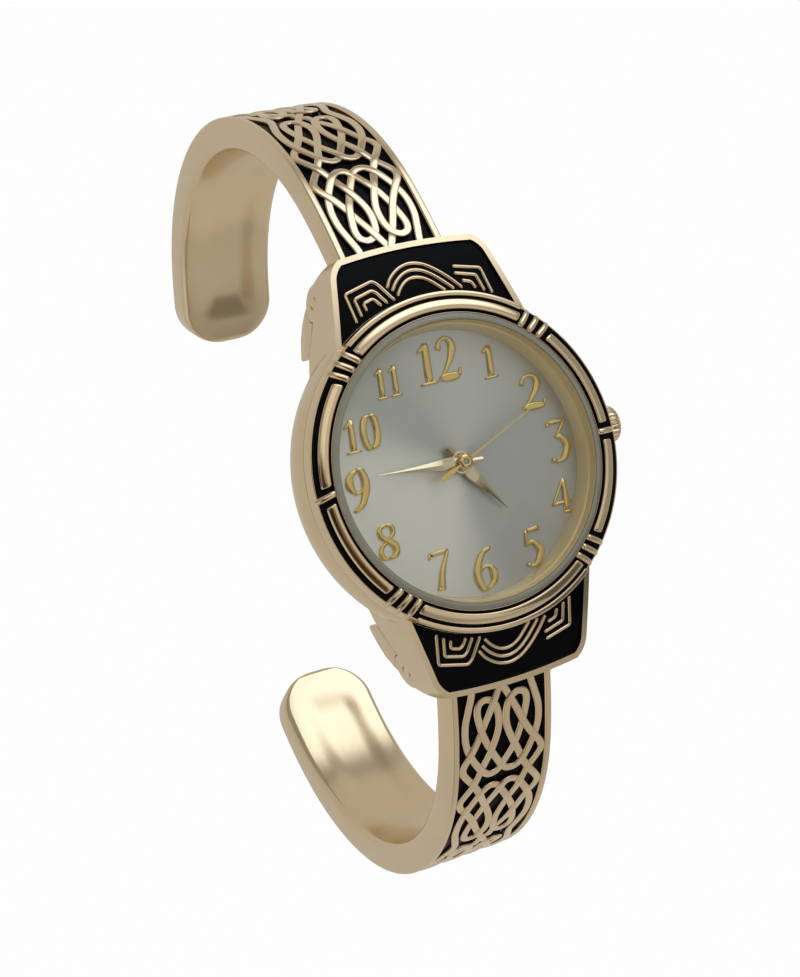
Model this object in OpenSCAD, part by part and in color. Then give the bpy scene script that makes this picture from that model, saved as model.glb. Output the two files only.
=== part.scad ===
// Bangle watch: a round case with two hooded lugs and a rigid half-cuff hinged under each hood.
// +Z points out of the dial, +Y to twelve o'clock, +X to three o'clock and the crown.
// The origin is the centre of the case back's flat outer face. Millimetres throughout.

/* [Case] */
// Height from the back's flat face to the bezel's top
case_h = 8.0; // [7.7:0.1:9]
// Outer radius of the case at its widest
case_r = 13.25; // [13.15:0.05:13.6]
// Depth of the dial's face below the bezel's top
dial_drop = 2.4; // [2.3:0.05:2.6]
// Thickness of the dial plate
dial_t = 0.4; // [0.3:0.05:0.5]
// Radius of the dial plate
dial_r = 10.9; // [10.7:0.05:11]
// Radius of the cavity that holds the movement
cavity_r = 9.9; // [9.6:0.05:10]
// Running or seating clearance between separate pieces
gap = 0.05; // [0.03:0.01:0.08]

/* [Bezel] */
// Height of the bezel above the case middle
bezel_h = 1.6; // [1.4:0.05:1.8]
// Outer radius of the bezel
bezel_r = 12.95; // [12.8:0.05:13]
// Radius at the middle of the wide half-round rail
rail_r = 11.8; // [11.7:0.05:11.9]
// Half the width of the wide rail
rail_w = 0.35; // [0.3:0.01:0.38]
// Radius at the middle of the outer lip beside the lug panels
lip_r = 12.65; // [12.6:0.01:12.7]
// Depth of the enamel's face below the bezel's top
enamel_drop = 0.5; // [0.4:0.05:0.6]
// Angle of the middle rib of each cluster from the three o'clock line
rib_angle = 47.5; // [46:0.5:49]
// Angle between neighbouring ribs in a cluster
rib_step = 4.8; // [4.4:0.1:5.2]
// Radius of a rib's half-round section
rib_r = 0.28; // [0.22:0.01:0.32]

/* [Crystal] */
// Radius of the crystal
crystal_r = 10.7; // [10.5:0.05:10.8]
// Thickness of the crystal
crystal_t = 0.85; // [0.7:0.05:0.9]

/* [Lugs] */
// Width of a hood where it leaves the case
hood_w = 16.0; // [15.4:0.1:16.6]
// Distance from the dial's centre at which that width is measured
hood_y = 11.0; // [10.8:0.1:11.2]
// Narrowing of each side per millimetre outward
hood_taper = 0.25; // [0.2:0.01:0.3]
// Distance of a hood's end from the dial's centre
hood_end = 17.4; // [17.2:0.05:17.8]
// Corner radius of a hood
hood_corner = 2.5; // [2:0.1:3]
// Drop of the hood's top below the bezel's top where it leaves the case
hood_drop = 1.2; // [1.1:0.05:1.4]
// Radius of the hood's gently crowned top
hood_crown = 82; // [60:1:120]
// Width of the gold rim round a black panel
panel_rim = 0.45; // [0.35:0.05:0.6]
// Depth of the panel's recess
panel_depth = 0.6; // [0.5:0.05:0.7]
// Height of the raised lines above the enamel
relief_h = 0.2; // [0.15:0.01:0.25]
// Width of a raised line
relief_w = 0.28; // [0.22:0.01:0.34]

/* [Hinges] */
// Distance of a hinge pin from the dial's centre
pivot_y = 14.6; // [14.5:0.05:14.7]
// Height of a hinge pin above the back
pivot_z = 2.2; // [2.1:0.05:2.4]
// Radius of the case's ears and the arm's barrel
ear_r = 1.4; // [1.3:0.05:1.5]
// Radius of a hinge pin
pin_r = 0.5; // [0.4:0.05:0.6]
// Half the width between the ears
ear_in = 5.75; // [5.6:0.05:5.9]
// Half the width of the spring's bay in the barrel
spring_bay = 3.3; // [3:0.1:3.6]
// Wire radius of the torsion spring
wire_r = 0.14; // [0.12:0.01:0.16]

/* [Cuff] */
// Half the cuff's length over its outer face
cuff_a = 33.76; // [33:0.1:35]
// Half the cuff's depth over its outer face
cuff_b = 24.77; // [24.4:0.1:25.2]
// Radius of the cuff's two ends
cuff_end_r = 21.5; // [21:0.1:22]
// Drop of the band's face below the hood's underside where the band begins
mouth_drop = 0.38; // [0.3:0.02:0.6]
// Width of the band
band_w = 9.09; // [8.8:0.01:9.4]
// Thickness of the band
band_t = 2.78; // [2.6:0.01:3]
// Distance of a tip from the cuff's middle plane
tip_y = 15; // [13:0.5:18]
// Corner radius of a tip
tip_corner = 3; // [2:0.1:3.6]
// Width of the rail along each edge of the outer face
side_rail = 0.62; // [0.55:0.01:0.75]
// Depth of the channel between the rails
channel_d = 0.6; // [0.5:0.05:0.7]
// Thickness of the black ground in the channel
ground_t = 0.22; // [0.15:0.01:0.26]
// Depth of the hollow along the inner face
hollow_d = 0.9; // [0.6:0.05:1.1]
// Width of the rim round the hollow
hollow_rim = 1.5; // [1.2:0.1:2]
// Length of solid metal between the hollow and the tip
hollow_tip = 5.5; // [4.5:0.5:8]

/* [Knotwork] */
// Length of one knot, half of its mirrored pair
knot_l = 8.9; // [8.5:0.1:9.3]
// Number of knots on each arm
knots = 6; // [2:2:6]

/* [Crown] */
// Radius of the crown
crown_r = 1.55; // [1.4:0.05:1.7]
// Length of the crown
crown_l = 1.8; // [1.6:0.05:2]
// Number of flutes round the crown
flutes = 18; // [14:1:20]
// Height of the stem above the movement's main plate
stem_lift = 0.4; // [0.38:0.01:0.45]
// Radius of the stem
stem_r = 0.35; // [0.3:0.01:0.36]

/* [Hands] */
// Length of the minute hand
minute_l = 7.2; // [6.5:0.1:8]
// Length of the hour hand
hour_l = 5.0; // [4.5:0.1:5.5]
// Length of the seconds hand
second_l = 7.3; // [7:0.1:8.5]
// Clockwise angle of the minute hand from twelve
minute_at = 276; // [0:1:359]
// Clockwise angle of the hour hand from twelve
hour_at = 145; // [0:1:359]
// Clockwise angle of the seconds hand from twelve
second_at = 68; // [0:1:359]
// Height of a numeral above the dial
numeral_t = 0.22; // [0.15:0.01:0.3]

/* [Hidden] */
$fn = 64;
eps = 0.01;
far = 60;

gold = "#c9b184";
pale_gold = "#d8c79c";
black = "#111111";

// Levels of the case stack
back_t = 0.9;
back_r = 9.6;
neck_r = 9.3;
neck_top = 1.9;
bezel_z = case_h - bezel_h;
dial_z = case_h - dial_drop;
dial_low = dial_z - dial_t;
crystal_z = case_h - gap - crystal_t;
plate_top = dial_low - 1.2;
stem_z = plate_top + stem_lift;
flank_r = 4.55;
flank_z = bezel_z - 1.4;
hood_top = case_h - hood_drop;
under_z = hood_top - 2.1;

// Levels of the bezel
bezel_bore = dial_r + 0.08;
floor_z = case_h - 0.8;
enamel_z = case_h - enamel_drop;
side_bevel = 12.35;

// The cuff is a four-centred oval: two end arcs joined by two flat arcs that share their tangents
flat_r = (pow(cuff_a - cuff_end_r, 2) + pow(cuff_b, 2) - pow(cuff_end_r, 2)) / (2 * (cuff_b - cuff_end_r));
end_y = cuff_a - cuff_end_r;
flat_dz = flat_r - cuff_b;
root_s = 15.2;
cuff_z = under_z - mouth_drop + flat_dz - flat_r * cos(root_s / flat_r * 180 / PI);
join_angle = atan2(flat_dz, end_y);

// Lengths along the outer face, measured from the crest
flat_half = flat_r * (90 - join_angle) * PI / 180;
end_whole = cuff_end_r * 2 * join_angle * PI / 180;
tip_angle = asin(tip_y / flat_r);
arm_len = 2 * flat_half + end_whole - flat_r * tip_angle * PI / 180;
knot_start = 17.95;
cover_start = 16.7;

// Places along the outer face: [y, z, direction of the outward normal]
function on_flat_top(s) = let(a = 90 - s / flat_r * 180 / PI)
    [flat_r * cos(a), cuff_z - flat_dz + flat_r * sin(a), a];
function on_end(s) = let(a = join_angle - s / cuff_end_r * 180 / PI)
    [end_y + cuff_end_r * cos(a), cuff_z + cuff_end_r * sin(a), a];
function on_flat_bottom(s) = let(a = -join_angle - s / flat_r * 180 / PI)
    [flat_r * cos(a), cuff_z + flat_dz + flat_r * sin(a), a];
function on_cuff(s) = s < flat_half ? on_flat_top(s)
    : s < flat_half + end_whole ? on_end(s - flat_half)
    : on_flat_bottom(s - flat_half - end_whole);

// A smooth line through hand-placed points, as a Catmull-Rom curve with a few steps to each span
function span(a, b, c, d, t) = 0.5 * ((2 * b) + (c - a) * t + (2 * a - 5 * b + 4 * c - d) * t * t
    + (3 * b - a - 3 * c + d) * t * t * t);
function smooth(p, steps) = let(n = len(p)) [
    for (i = [0 : n - 2], k = [0 : steps - 1])
        span(i == 0 ? 2 * p[0] - p[1] : p[i - 1], p[i], p[i + 1],
            i + 2 < n ? p[i + 2] : 2 * p[n - 1] - p[n - 2], k / steps),
    p[n - 1]];
function side_step(p, i) = let(n = len(p), a = p[max(i - 1, 0)], b = p[min(i + 1, n - 1)],
    d = [b[0] - a[0], b[1] - a[1]], l = norm(d)) [-d[1] / l, d[0] / l];
// Outline of a line whose half-width is the third number of each point
function ribbon(p) = concat(
    [for (i = [0 : len(p) - 1]) [p[i][0], p[i][1]] + side_step(p, i) * p[i][2]],
    [for (i = [len(p) - 1 : -1 : 0]) [p[i][0], p[i][1]] - side_step(p, i) * p[i][2]]);
function with_width(p, w) = [for (q = p) [q[0], q[1], w / 2]];
module stroke(points, steps = 3) {
    polygon(ribbon(smooth(points, steps)));
}

// Turns a shape drawn in the plane of Y and Z into a slab along X
module along_x(width) {
    rotate([90, 0, 90]) linear_extrude(width, center = true) children();
}

module both_ends() {
    children();
    mirror([0, 1, 0]) children();
}

module ring(outer, inner, low, high) {
    translate([0, 0, low]) difference() {
        cylinder(r = outer, h = high - low);
        translate([0, 0, -1]) cylinder(r = inner, h = high - low + 2);
    }
}

module disc(radius, low, high) {
    translate([0, 0, low]) cylinder(r = radius, h = high - low);
}

// Hooded lug

function hood_side(y, inset) = hood_w / 2 - hood_taper * (y - hood_y) - inset * norm([1, hood_taper]);

module hood_outline(inset) {
    slant = norm([1, hood_taper]);
    r = hood_corner - inset;
    cy = hood_end - hood_corner;
    cx = hood_side(cy, inset) - r * slant;
    tx = cx + r / slant;
    ty = cy + r * hood_taper / slant;
    base = 8;
    intersection() {
        union() {
            polygon([[-hood_side(base, inset), base], [hood_side(base, inset), base], [tx, ty],
                [cx, cy + r], [-cx, cy + r], [-tx, ty]]);
            for (side = [-1, 1]) translate([side * cx, cy]) circle(r);
        }
        translate([0, hood_end - 45]) circle(45 - inset, $fn = 120);
    }
}

crown_z = hood_top - sqrt(hood_crown * hood_crown - hood_y * hood_y);
seam_z = pivot_z - 1.0;
seam_y = 10.5;
bay_y = pivot_y - ear_r - 0.1;

module crown_slab(drop) {
    translate([0, 0, crown_z]) along_x(far) circle(hood_crown - drop, $fn = 240);
}

module hood_profile() {
    polygon([[8, seam_z], [seam_y, seam_z], [pivot_y - ear_r, pivot_z], [pivot_y + ear_r, pivot_z],
        [hood_end + 0.2, under_z - 0.2], [hood_end + 0.2, case_h + 1], [8, case_h + 1]]);
    translate([pivot_y, pivot_z]) circle(ear_r);
}

module hood() {
    intersection() {
        translate([0, 0, -2]) linear_extrude(case_h + 4) hood_outline(0);
        crown_slab(0);
        along_x(far) hood_profile();
    }
}

// Room under the hood for the arm's barrel and band
module hood_bay() {
    along_x(2 * ear_in) polygon([[bay_y, -3], [hood_end + 2, -3], [hood_end + 2, under_z],
        [bay_y + 0.3, under_z], [bay_y, under_z - 0.3]]);
}

// Room below the seam for the arm's root block
module root_room() {
    along_x(far) polygon([[seam_y, -3], [seam_y, seam_z - eps], [pivot_y - ear_r, pivot_z],
        [pivot_y - ear_r, -3]]);
}

module panel_shape() {
    difference() {
        hood_outline(panel_rim);
        circle(bezel_r + 0.1, $fn = 120);
    }
}

module panel_recess() {
    difference() {
        linear_extrude(case_h + 2) panel_shape();
        crown_slab(panel_depth);
    }
}

module lug_panel() {
    intersection() {
        linear_extrude(case_h + 2) panel_shape();
        difference() {
            crown_slab(relief_h + 0.08);
            crown_slab(panel_depth);
        }
    }
}

// Three nested arches in the middle and three nested gables on each side
arches = [
    [[-2.55, 14.15], [-2.0, 14.9], [-1.1, 15.5], [-0.1, 15.72], [0.9, 15.5], [1.9, 14.85], [2.85, 13.95],
        [3.65, 13.0]],
    [[-2.2, 13.85], [-1.65, 14.5], [-0.9, 15.0], [-0.1, 15.17], [0.7, 15.0], [1.5, 14.5], [2.3, 13.75],
        [2.95, 13.05]],
    [[-1.9, 13.4], [-1.35, 14.05], [-0.75, 14.45], [-0.1, 14.58], [0.5, 14.45], [1.1, 14.1], [1.65, 13.6],
        [2.2, 13.05]]];
gables = [
    [[-5.8, 12.0], [-6.05, 14.35], [-3.6, 14.95], [-3.2, 14.65], [-2.2, 13.1]],
    [[-5.25, 12.4], [-5.42, 13.85], [-3.85, 14.25], [-3.5, 14.0], [-2.85, 13.0]],
    [[-4.7, 12.75], [-4.82, 13.38], [-4.05, 13.6], [-3.8, 13.45], [-3.4, 12.9]],
    [[3.35, 14.85], [5.65, 14.3], [6.0, 12.1]],
    [[3.3, 14.3], [5.08, 13.82], [5.4, 12.4]],
    [[3.75, 13.6], [4.5, 13.38], [4.75, 12.75]]];

module relief_lines() {
    for (line = arches) stroke(with_width(line, relief_w), 3);
    for (line = gables) polygon(ribbon(with_width(line, relief_w)));
}

module lug_relief() {
    intersection() {
        linear_extrude(case_h + 2) intersection() {
            relief_lines();
            panel_shape();
        }
        difference() {
            crown_slab(0.08);
            crown_slab(relief_h + 0.08);
        }
    }
}

// Case

module flank() {
    rotate_extrude($fn = 120) intersection() {
        union() {
            translate([case_r - flank_r, flank_z]) circle(flank_r);
            square([case_r - flank_r, case_h]);
        }
        translate([0, back_t]) square([case_r + 1, bezel_z - back_t]);
    }
}

module case_body() {
    color(gold) difference() {
        union() {
            flank();
            difference() {
                both_ends() hood();
                disc(bezel_r + 0.02, bezel_z, case_h + 2);
            }
        }
        disc(neck_r, -1, neck_top + 1);
        disc(back_r + gap, -1, back_t + 0.3);
        disc(cavity_r, neck_top, case_h);
        disc(dial_r + gap, dial_low, case_h);
        both_ends() {
            hood_bay();
            root_room();
            panel_recess();
            translate([0, pivot_y, pivot_z]) rotate([0, 90, 0]) cylinder(r = pin_r, h = far, center = true);
        }
        translate([0, 0, stem_z]) rotate([0, 90, 0]) {
            cylinder(r = stem_r + 0.1, h = far);
            translate([0, 0, dial_r + 0.3]) cylinder(r = tube_r, h = far);
        }
    }
}

module upper_lug_enamel() {
    color(black) lug_panel();
}

module lower_lug_enamel() {
    color(black) mirror([0, 1, 0]) lug_panel();
}

module upper_lug_relief() {
    color(pale_gold) lug_relief();
}

module lower_lug_relief() {
    color(pale_gold) mirror([0, 1, 0]) lug_relief();
}

// Bezel

rib_angles = [for (q = [0, 1], m = [-1, 1], k = [-1 : 1]) 180 * q + m * (rib_angle + k * rib_step)];
rail_stop = rib_step + 1.9;
foot_z = floor_z - 0.12;

// A half-round rail over part of a turn
module rail(radius, half_w, top, from, to) {
    round = [for (k = [0 : 10]) [radius + half_w * cos(k * 18), top - half_w + half_w * sin(k * 18)]];
    rotate([0, 0, from]) rotate_extrude(angle = to - from, $fn = 120)
        polygon(concat([[radius - half_w, foot_z], [radius + half_w, foot_z]], round));
}

// The part of a rail or rib that stands in the enamel has upright walls
module rail_foot(radius, half_w, from, to, top) {
    rotate([0, 0, from]) rotate_extrude(angle = to - from, $fn = 120)
        translate([radius - half_w, foot_z]) square([2 * half_w, top - foot_z]);
}

rib_in = 11.2;
rib_z = case_h - rib_r - 0.1;
foot_w = 2 * rib_r - 0.02;

module rib_foot(a, top) {
    rotate([0, 0, a]) translate([rib_in + 0.03, -foot_w / 2, foot_z])
        cube([bezel_r - rib_in - 0.07, foot_w, top - foot_z]);
}

// A rib lies across the bezel and turns down over its outer edge
module rib(a) {
    drop_z = bezel_z + 0.25;
    rib_foot(a, rib_z);
    rotate([0, 0, a]) {
        translate([rib_in + 0.05, 0, rib_z]) rotate([0, 90, 0]) cylinder(r = rib_r, h = bezel_r - rib_in + 0.15);
        translate([bezel_r - 0.3, 0.04 - rib_r, drop_z]) cube([0.47, 2 * rib_r - 0.08, rib_z - drop_z]);
    }
}

module bezel_base() {
    rotate_extrude($fn = 120) polygon([[bezel_bore, bezel_z], [bezel_r - 0.1, bezel_z], [bezel_r, bezel_z + 0.1],
        [bezel_r, floor_z], [bezel_bore + 0.17, floor_z], [bezel_bore + 0.17, case_h - 0.1],
        [bezel_bore + 0.1, case_h], [bezel_bore + 0.05, case_h], [bezel_bore, case_h - 0.06]]);
}

// The edge beside the case's bare sides slants down where the lug panels have a lip
module side_edge(from, to) {
    rotate([0, 0, from]) rotate_extrude(angle = to - from, $fn = 120)
        polygon([[side_bevel + 0.15, foot_z], [bezel_r - 0.01, foot_z], [bezel_r - 0.01, case_h - 0.55],
            [bezel_r - 0.12, case_h - 0.4], [side_bevel + 0.3, case_h - 0.25], [side_bevel + 0.15, case_h - 0.4]]);
}

// Each rail: [radius, half-width, top, from, to] for one half turn
rail_side = rib_angle - rail_stop;
rail_lug = rib_angle + rail_stop;
rail_list = [
    [rail_r, rail_w, case_h, 2.8, rail_side],
    [rail_r, rail_w, case_h, -rail_side, -2.8],
    [rail_r, rail_w, case_h, rail_lug, 180 - rail_lug],
    [lip_r, 0.2, case_h - 0.08, rail_lug, 180 - rail_lug]];
edge_from = 2.2;
edge_to = rail_side + 0.6;
all_ribs = concat([0, 180], rib_angles);

module bezel() {
    color(pale_gold) {
        bezel_base();
        for (q = [0, 180]) {
            for (l = rail_list) rail(l[0], l[1], l[2], q + l[3], q + l[4]);
            side_edge(q + edge_from, q + edge_to);
            side_edge(q - edge_to, q - edge_from);
        }
        for (a = all_ribs) rib(a);
    }
}

module bezel_enamel() {
    color(black) difference() {
        ring(bezel_r - 0.12, bezel_bore + 0.17, floor_z, enamel_z - 0.02);
        for (q = [0, 180]) {
            for (l = rail_list) rail_foot(l[0], l[1], q + l[3], q + l[4], case_h);
            for (m = [-1, 1]) rotate([0, 0, m < 0 ? q - edge_to : q + edge_from])
                rotate_extrude(angle = edge_to - edge_from, $fn = 120)
                    translate([side_bevel + 0.15, floor_z - eps]) square([1, 1]);
        }
        for (a = all_ribs) rib_foot(a, case_h);
    }
}

// Crystal and dial

module crystal() {
    color("#dfe6e8", 0.35) rotate_extrude($fn = 120) polygon([[0, crystal_z], [crystal_r - 0.08, crystal_z],
        [crystal_r, crystal_z + 0.08], [crystal_r, case_h - 0.3], [crystal_r - 0.25, case_h - gap], [0, case_h - gap]]);
}

module crystal_gasket() {
    color("#5d5a4a") ring(bezel_bore, crystal_r, crystal_z, case_h - 0.2);
}

flange_r = 10.3;

module dial_flange() {
    color("#8e8258") rotate_extrude($fn = 120) polygon([[flange_r, dial_z], [dial_r + 0.02, dial_z],
        [dial_r + 0.02, crystal_z], [flange_r + 0.2, crystal_z]]);
}

hour_hole = 0.8;

module dial() {
    color("#a9a9a6") difference() {
        disc(dial_r, dial_low, dial_z, $fn = 120);
        disc(hour_hole, dial_low - 1, dial_z + 1);
    }
}

// Broad-pen numerals. Each stroke is a list of [x, y, half-width] in a box one unit high.
thin = 0.045;
wide = 0.12;
pen = [
    [[[0.56, 0.99, thin], [0.26, 0.88, wide], [0.14, 0.5, wide], [0.28, 0.1, wide], [0.56, 0.01, thin]],
        [[0.44, 0.01, thin], [0.76, 0.12, wide * 0.8], [0.86, 0.5, wide], [0.74, 0.9, wide * 0.8], [0.44, 0.99, thin]]],
    [[[0.5, 0.02, wide], [0.5, 0.97, wide * 0.9]], [[0.14, 0.76, thin], [0.5, 0.92, wide * 0.6]],
        [[0.1, 0.03, thin], [0.9, 0.03, thin]]],
    [[[0.16, 0.72, wide], [0.26, 0.92, thin], [0.48, 0.98, thin], [0.7, 0.8, wide], [0.64, 0.55, wide],
        [0.36, 0.26, thin], [0.14, 0.04, thin]], [[0.12, 0.05, wide * 0.7], [0.45, 0.06, wide], [0.86, 0.03, thin]]],
    [[[0.14, 0.97, thin], [0.82, 0.97, thin]], [[0.78, 0.97, thin], [0.42, 0.58, thin]],
        [[0.36, 0.58, thin], [0.62, 0.56, wide * 0.7], [0.8, 0.33, wide], [0.64, 0.08, wide * 0.8], [0.4, 0.0, thin],
        [0.14, 0.08, wide * 0.6]]],
    [[[0.66, 0.0, wide], [0.66, 0.98, wide * 0.6]], [[0.64, 0.96, thin], [0.06, 0.26, thin]],
        [[0.06, 0.3, thin], [0.9, 0.3, thin]]],
    [[[0.26, 0.95, thin], [0.82, 0.95, wide * 0.6]], [[0.27, 0.97, thin], [0.22, 0.52, thin]],
        [[0.2, 0.55, thin], [0.48, 0.62, wide * 0.6], [0.78, 0.36, wide], [0.62, 0.08, wide * 0.8], [0.38, 0.0, thin],
        [0.14, 0.08, wide * 0.6]]],
    [[[0.78, 0.97, thin], [0.42, 0.84, wide * 0.7], [0.2, 0.42, wide], [0.32, 0.08, wide * 0.8], [0.54, 0.01, thin]],
        [[0.46, 0.01, thin], [0.76, 0.14, wide * 0.8], [0.8, 0.36, wide], [0.62, 0.54, thin], [0.4, 0.52, thin],
        [0.22, 0.36, thin]]],
    [[[0.12, 0.9, wide * 0.6], [0.86, 0.94, thin]], [[0.86, 0.95, thin], [0.56, 0.5, wide * 0.7], [0.42, 0.0, wide]]],
    [[[0.56, 0.99, thin], [0.26, 0.92, wide * 0.6], [0.26, 0.7, wide * 0.7], [0.5, 0.54, wide * 0.8],
        [0.78, 0.34, wide], [0.76, 0.1, wide * 0.8], [0.46, 0.01, thin]],
        [[0.54, 0.01, thin], [0.24, 0.1, wide * 0.7], [0.22, 0.34, wide * 0.6], [0.5, 0.52, thin],
        [0.74, 0.7, wide * 0.6], [0.7, 0.92, wide * 0.6], [0.44, 0.99, thin]]],
    [[[0.24, 0.03, thin], [0.6, 0.18, wide * 0.7], [0.8, 0.58, wide], [0.7, 0.92, wide * 0.8], [0.46, 0.99, thin]],
        [[0.54, 0.99, thin], [0.26, 0.86, wide * 0.8], [0.22, 0.64, wide], [0.4, 0.46, thin], [0.62, 0.48, thin],
        [0.78, 0.62, thin]]]];

// A pen stroke stretched to a numeral's box and slanted
module pen_stroke(line, w, h) {
    sized = [for (q = line) [q[0] * w + slant * q[1] * h, q[1] * h, q[2] * (w + h) / 2]];
    polygon(ribbon(smooth(sized, len(line) > 3 ? 3 : 1)));
}

// Each numeral: [digits, left, bottom, width of one digit, height]
numeral_places = [
    [[1, 2], -1.75, 6.35, 1.95, 3.3], [[1], 3.75, 5.75, 1.6, 2.65], [[2], 6.45, 2.65, 2.25, 2.7],
    [[3], 7.55, -1.85, 2.4, 3.3], [[4], 6.75, -5.85, 2.1, 2.7], [[5], 3.3, -9.0, 2.1, 2.8],
    [[6], -1.2, -9.9, 2.4, 3.2], [[7], -4.75, -8.8, 2.1, 2.8], [[8], -8.4, -5.65, 2.1, 2.6],
    [[9], -9.95, -1.75, 2.2, 3.2], [[1, 0], -8.95, 2.65, 1.6, 2.55], [[1, 1], -5.5, 6.1, 1.25, 2.4]];
slant = 0.12;

module hour_numerals() {
    grown = dial_r / 10.9;
    color("#b89a4e") for (n = numeral_places, k = [0 : len(n[0]) - 1])
        translate([(n[1] + k * n[3] * 0.95) * grown, n[2] * grown, dial_z])
            for (line = pen[n[0][k]]) linear_extrude(numeral_t) pen_stroke(line, n[3] * grown, n[4] * grown);
}

// Hands. Each turns about the centre and is set by its clockwise angle.

// A lance is a list of [distance from the centre, half-width] for a length of one, tail first.
module lance(outline, length, hub, hole, t) {
    difference() {
        union() {
            linear_extrude(t) polygon(concat([for (q = outline) [q[1], q[0] * length]],
                [for (i = [len(outline) - 1 : -1 : 0]) [-outline[i][1], outline[i][0] * length]]));
            cylinder(r = hub, h = t);
        }
        translate([0, 0, -1]) cylinder(r = hole, h = t + 2);
    }
}

minute_outline = [[-0.222, 0.17], [-0.083, 0.2], [0, 0.3], [0.083, 0.52], [0.146, 0.66], [0.194, 0.62],
    [0.333, 0.43], [0.5, 0.27], [0.722, 0.12], [1, 0.02]];
hour_outline = [[-0.3, 0.19], [-0.12, 0.22], [0, 0.32], [0.12, 0.55], [0.2, 0.7], [0.27, 0.65], [0.44, 0.44],
    [0.66, 0.22], [1, 0.02]];
hour_pipe = 0.65;
minute_pipe = 0.4;
arbor_r = 0.16;
hand_t = 0.15;
needle_t = 0.12;
hour_hand_z = dial_z + 0.45;
minute_hand_z = dial_z + 0.8;
second_hand_z = dial_z + 1.15;

module hour_hand() {
    color("#b9a05c") rotate([0, 0, -hour_at]) translate([0, 0, hour_hand_z])
        lance(hour_outline, hour_l, 0.95, hour_pipe, hand_t);
}

module minute_hand() {
    color("#b9a05c") rotate([0, 0, -minute_at]) translate([0, 0, minute_hand_z])
        lance(minute_outline, minute_l, 0.75, minute_pipe, hand_t);
}

module seconds_hand() {
    color("#a98f4c") rotate([0, 0, -second_at]) translate([0, 0, second_hand_z]) difference() {
        union() {
            linear_extrude(needle_t) polygon([[-0.05, second_l], [0.05, second_l], [0.1, 0], [0.2, -1.1],
                [0.2, -2.1], [-0.2, -2.1], [-0.2, -1.1], [-0.1, 0]]);
            cylinder(r = 0.52, h = needle_t + 0.06);
        }
        translate([0, 0, -1]) cylinder(r = arbor_r, h = 3);
    }
}

// Motion work

module_size = 0.12;
motion_centre = 20 * module_size;
motion_angle = 115;

function tooth_ring(teeth, m, i) = let(r = teeth * m / 2, p = 360 / teeth, a = i * p) [
    [(r - 1.2 * m) * cos(a - 0.36 * p), (r - 1.2 * m) * sin(a - 0.36 * p)],
    [r * cos(a - 0.23 * p), r * sin(a - 0.23 * p)],
    [(r + 0.9 * m) * cos(a - 0.1 * p), (r + 0.9 * m) * sin(a - 0.1 * p)],
    [(r + 0.9 * m) * cos(a + 0.1 * p), (r + 0.9 * m) * sin(a + 0.1 * p)],
    [r * cos(a + 0.23 * p), r * sin(a + 0.23 * p)],
    [(r - 1.2 * m) * cos(a + 0.36 * p), (r - 1.2 * m) * sin(a + 0.36 * p)]];

module gear(teeth, m, low, high) {
    translate([0, 0, low]) linear_extrude(high - low)
        polygon([for (i = [0 : teeth - 1], q = tooth_ring(teeth, m, i)) q]);
}

module cannon_pinion() {
    color("#c8a951") difference() {
        union() {
            rotate([0, 0, motion_angle]) gear(10, module_size, plate_top + 0.15, plate_top + 0.4);
            disc(minute_pipe, plate_top + 0.15, minute_hand_z + hand_t);
        }
        disc(arbor_r + 0.04, 0, case_h);
    }
}

module minute_wheel() {
    color("#c8a951") rotate([0, 0, motion_angle]) translate([motion_centre, 0, 0]) difference() {
        union() {
            rotate([0, 0, 180 + 6]) gear(30, module_size, plate_top + 0.2, plate_top + 0.38);
            rotate([0, 0, 180 + 22.5]) gear(8, module_size, plate_top + 0.38 - eps, plate_top + 0.8);
        }
        disc(0.18, 0, case_h);
    }
}

module hour_wheel() {
    color("#c8a951") difference() {
        union() {
            rotate([0, 0, motion_angle]) gear(32, module_size, plate_top + 0.5, plate_top + 0.68);
            disc(hour_pipe, plate_top + 0.5, hour_hand_z + hand_t);
        }
        disc(minute_pipe + 0.04, 0, case_h);
    }
}

// Movement

// A common small quartz calibre of 15.3 by 17.8 mm, flat on two sides
calibre_r = 8.9;
calibre_w = 15.3;

module calibre_outline(extra) {
    intersection() {
        circle(calibre_r + extra);
        square([calibre_w + 2 * extra, 3 * calibre_r], center = true);
    }
}

plate_t = 0.6;
plate_low = plate_top - plate_t;
works_low = back_t + 0.25;
bridge_low = works_low + 0.3;
battery_r = 3.4;
battery_x = -2.6;
battery_y = -4.4;
clip_w = 1.2;
clip_t = 0.2;

module main_plate() {
    color("#b7a56a") difference() {
        union() {
            translate([0, 0, plate_low]) linear_extrude(plate_t) calibre_outline(0);
            rotate([0, 0, motion_angle]) translate([motion_centre, 0, 0]) disc(0.15, plate_top - eps, plate_top + 0.95);
        }
        disc(arbor_r + 0.04, 0, case_h);
    }
}

module train_bridge() {
    color("#c9c4b4") difference() {
        translate([0, 0, bridge_low]) linear_extrude(plate_low - bridge_low) intersection() {
            calibre_outline(-0.4);
            translate([-calibre_w, 0.2]) square([2 * calibre_w, calibre_r]);
        }
        disc(2.1, bridge_low + 0.6, case_h);
        disc(arbor_r + 0.04, 0, case_h);
        translate([-coil_l / 2 - 1.5, coil_y - 1.3, bridge_low + coil_floor]) cube([coil_l + 3, 2.6, case_h]);
    }
}

coil_y = 3.9;
coil_l = 7.4;
coil_floor = 0.3;
coil_room = plate_low - bridge_low - coil_floor;

module coil() {
    color("#a0552e") translate([0, coil_y, plate_low - coil_room / 2]) rotate([0, 90, 0]) {
        cylinder(r = coil_room / 2 - 0.1, h = coil_l, center = true);
        for (side = [-1, 1]) translate([0, 0, side * (coil_l / 2 + 0.5)])
            cylinder(r = coil_room / 2 - 0.04, h = 1.1, center = true);
    }
}

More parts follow.
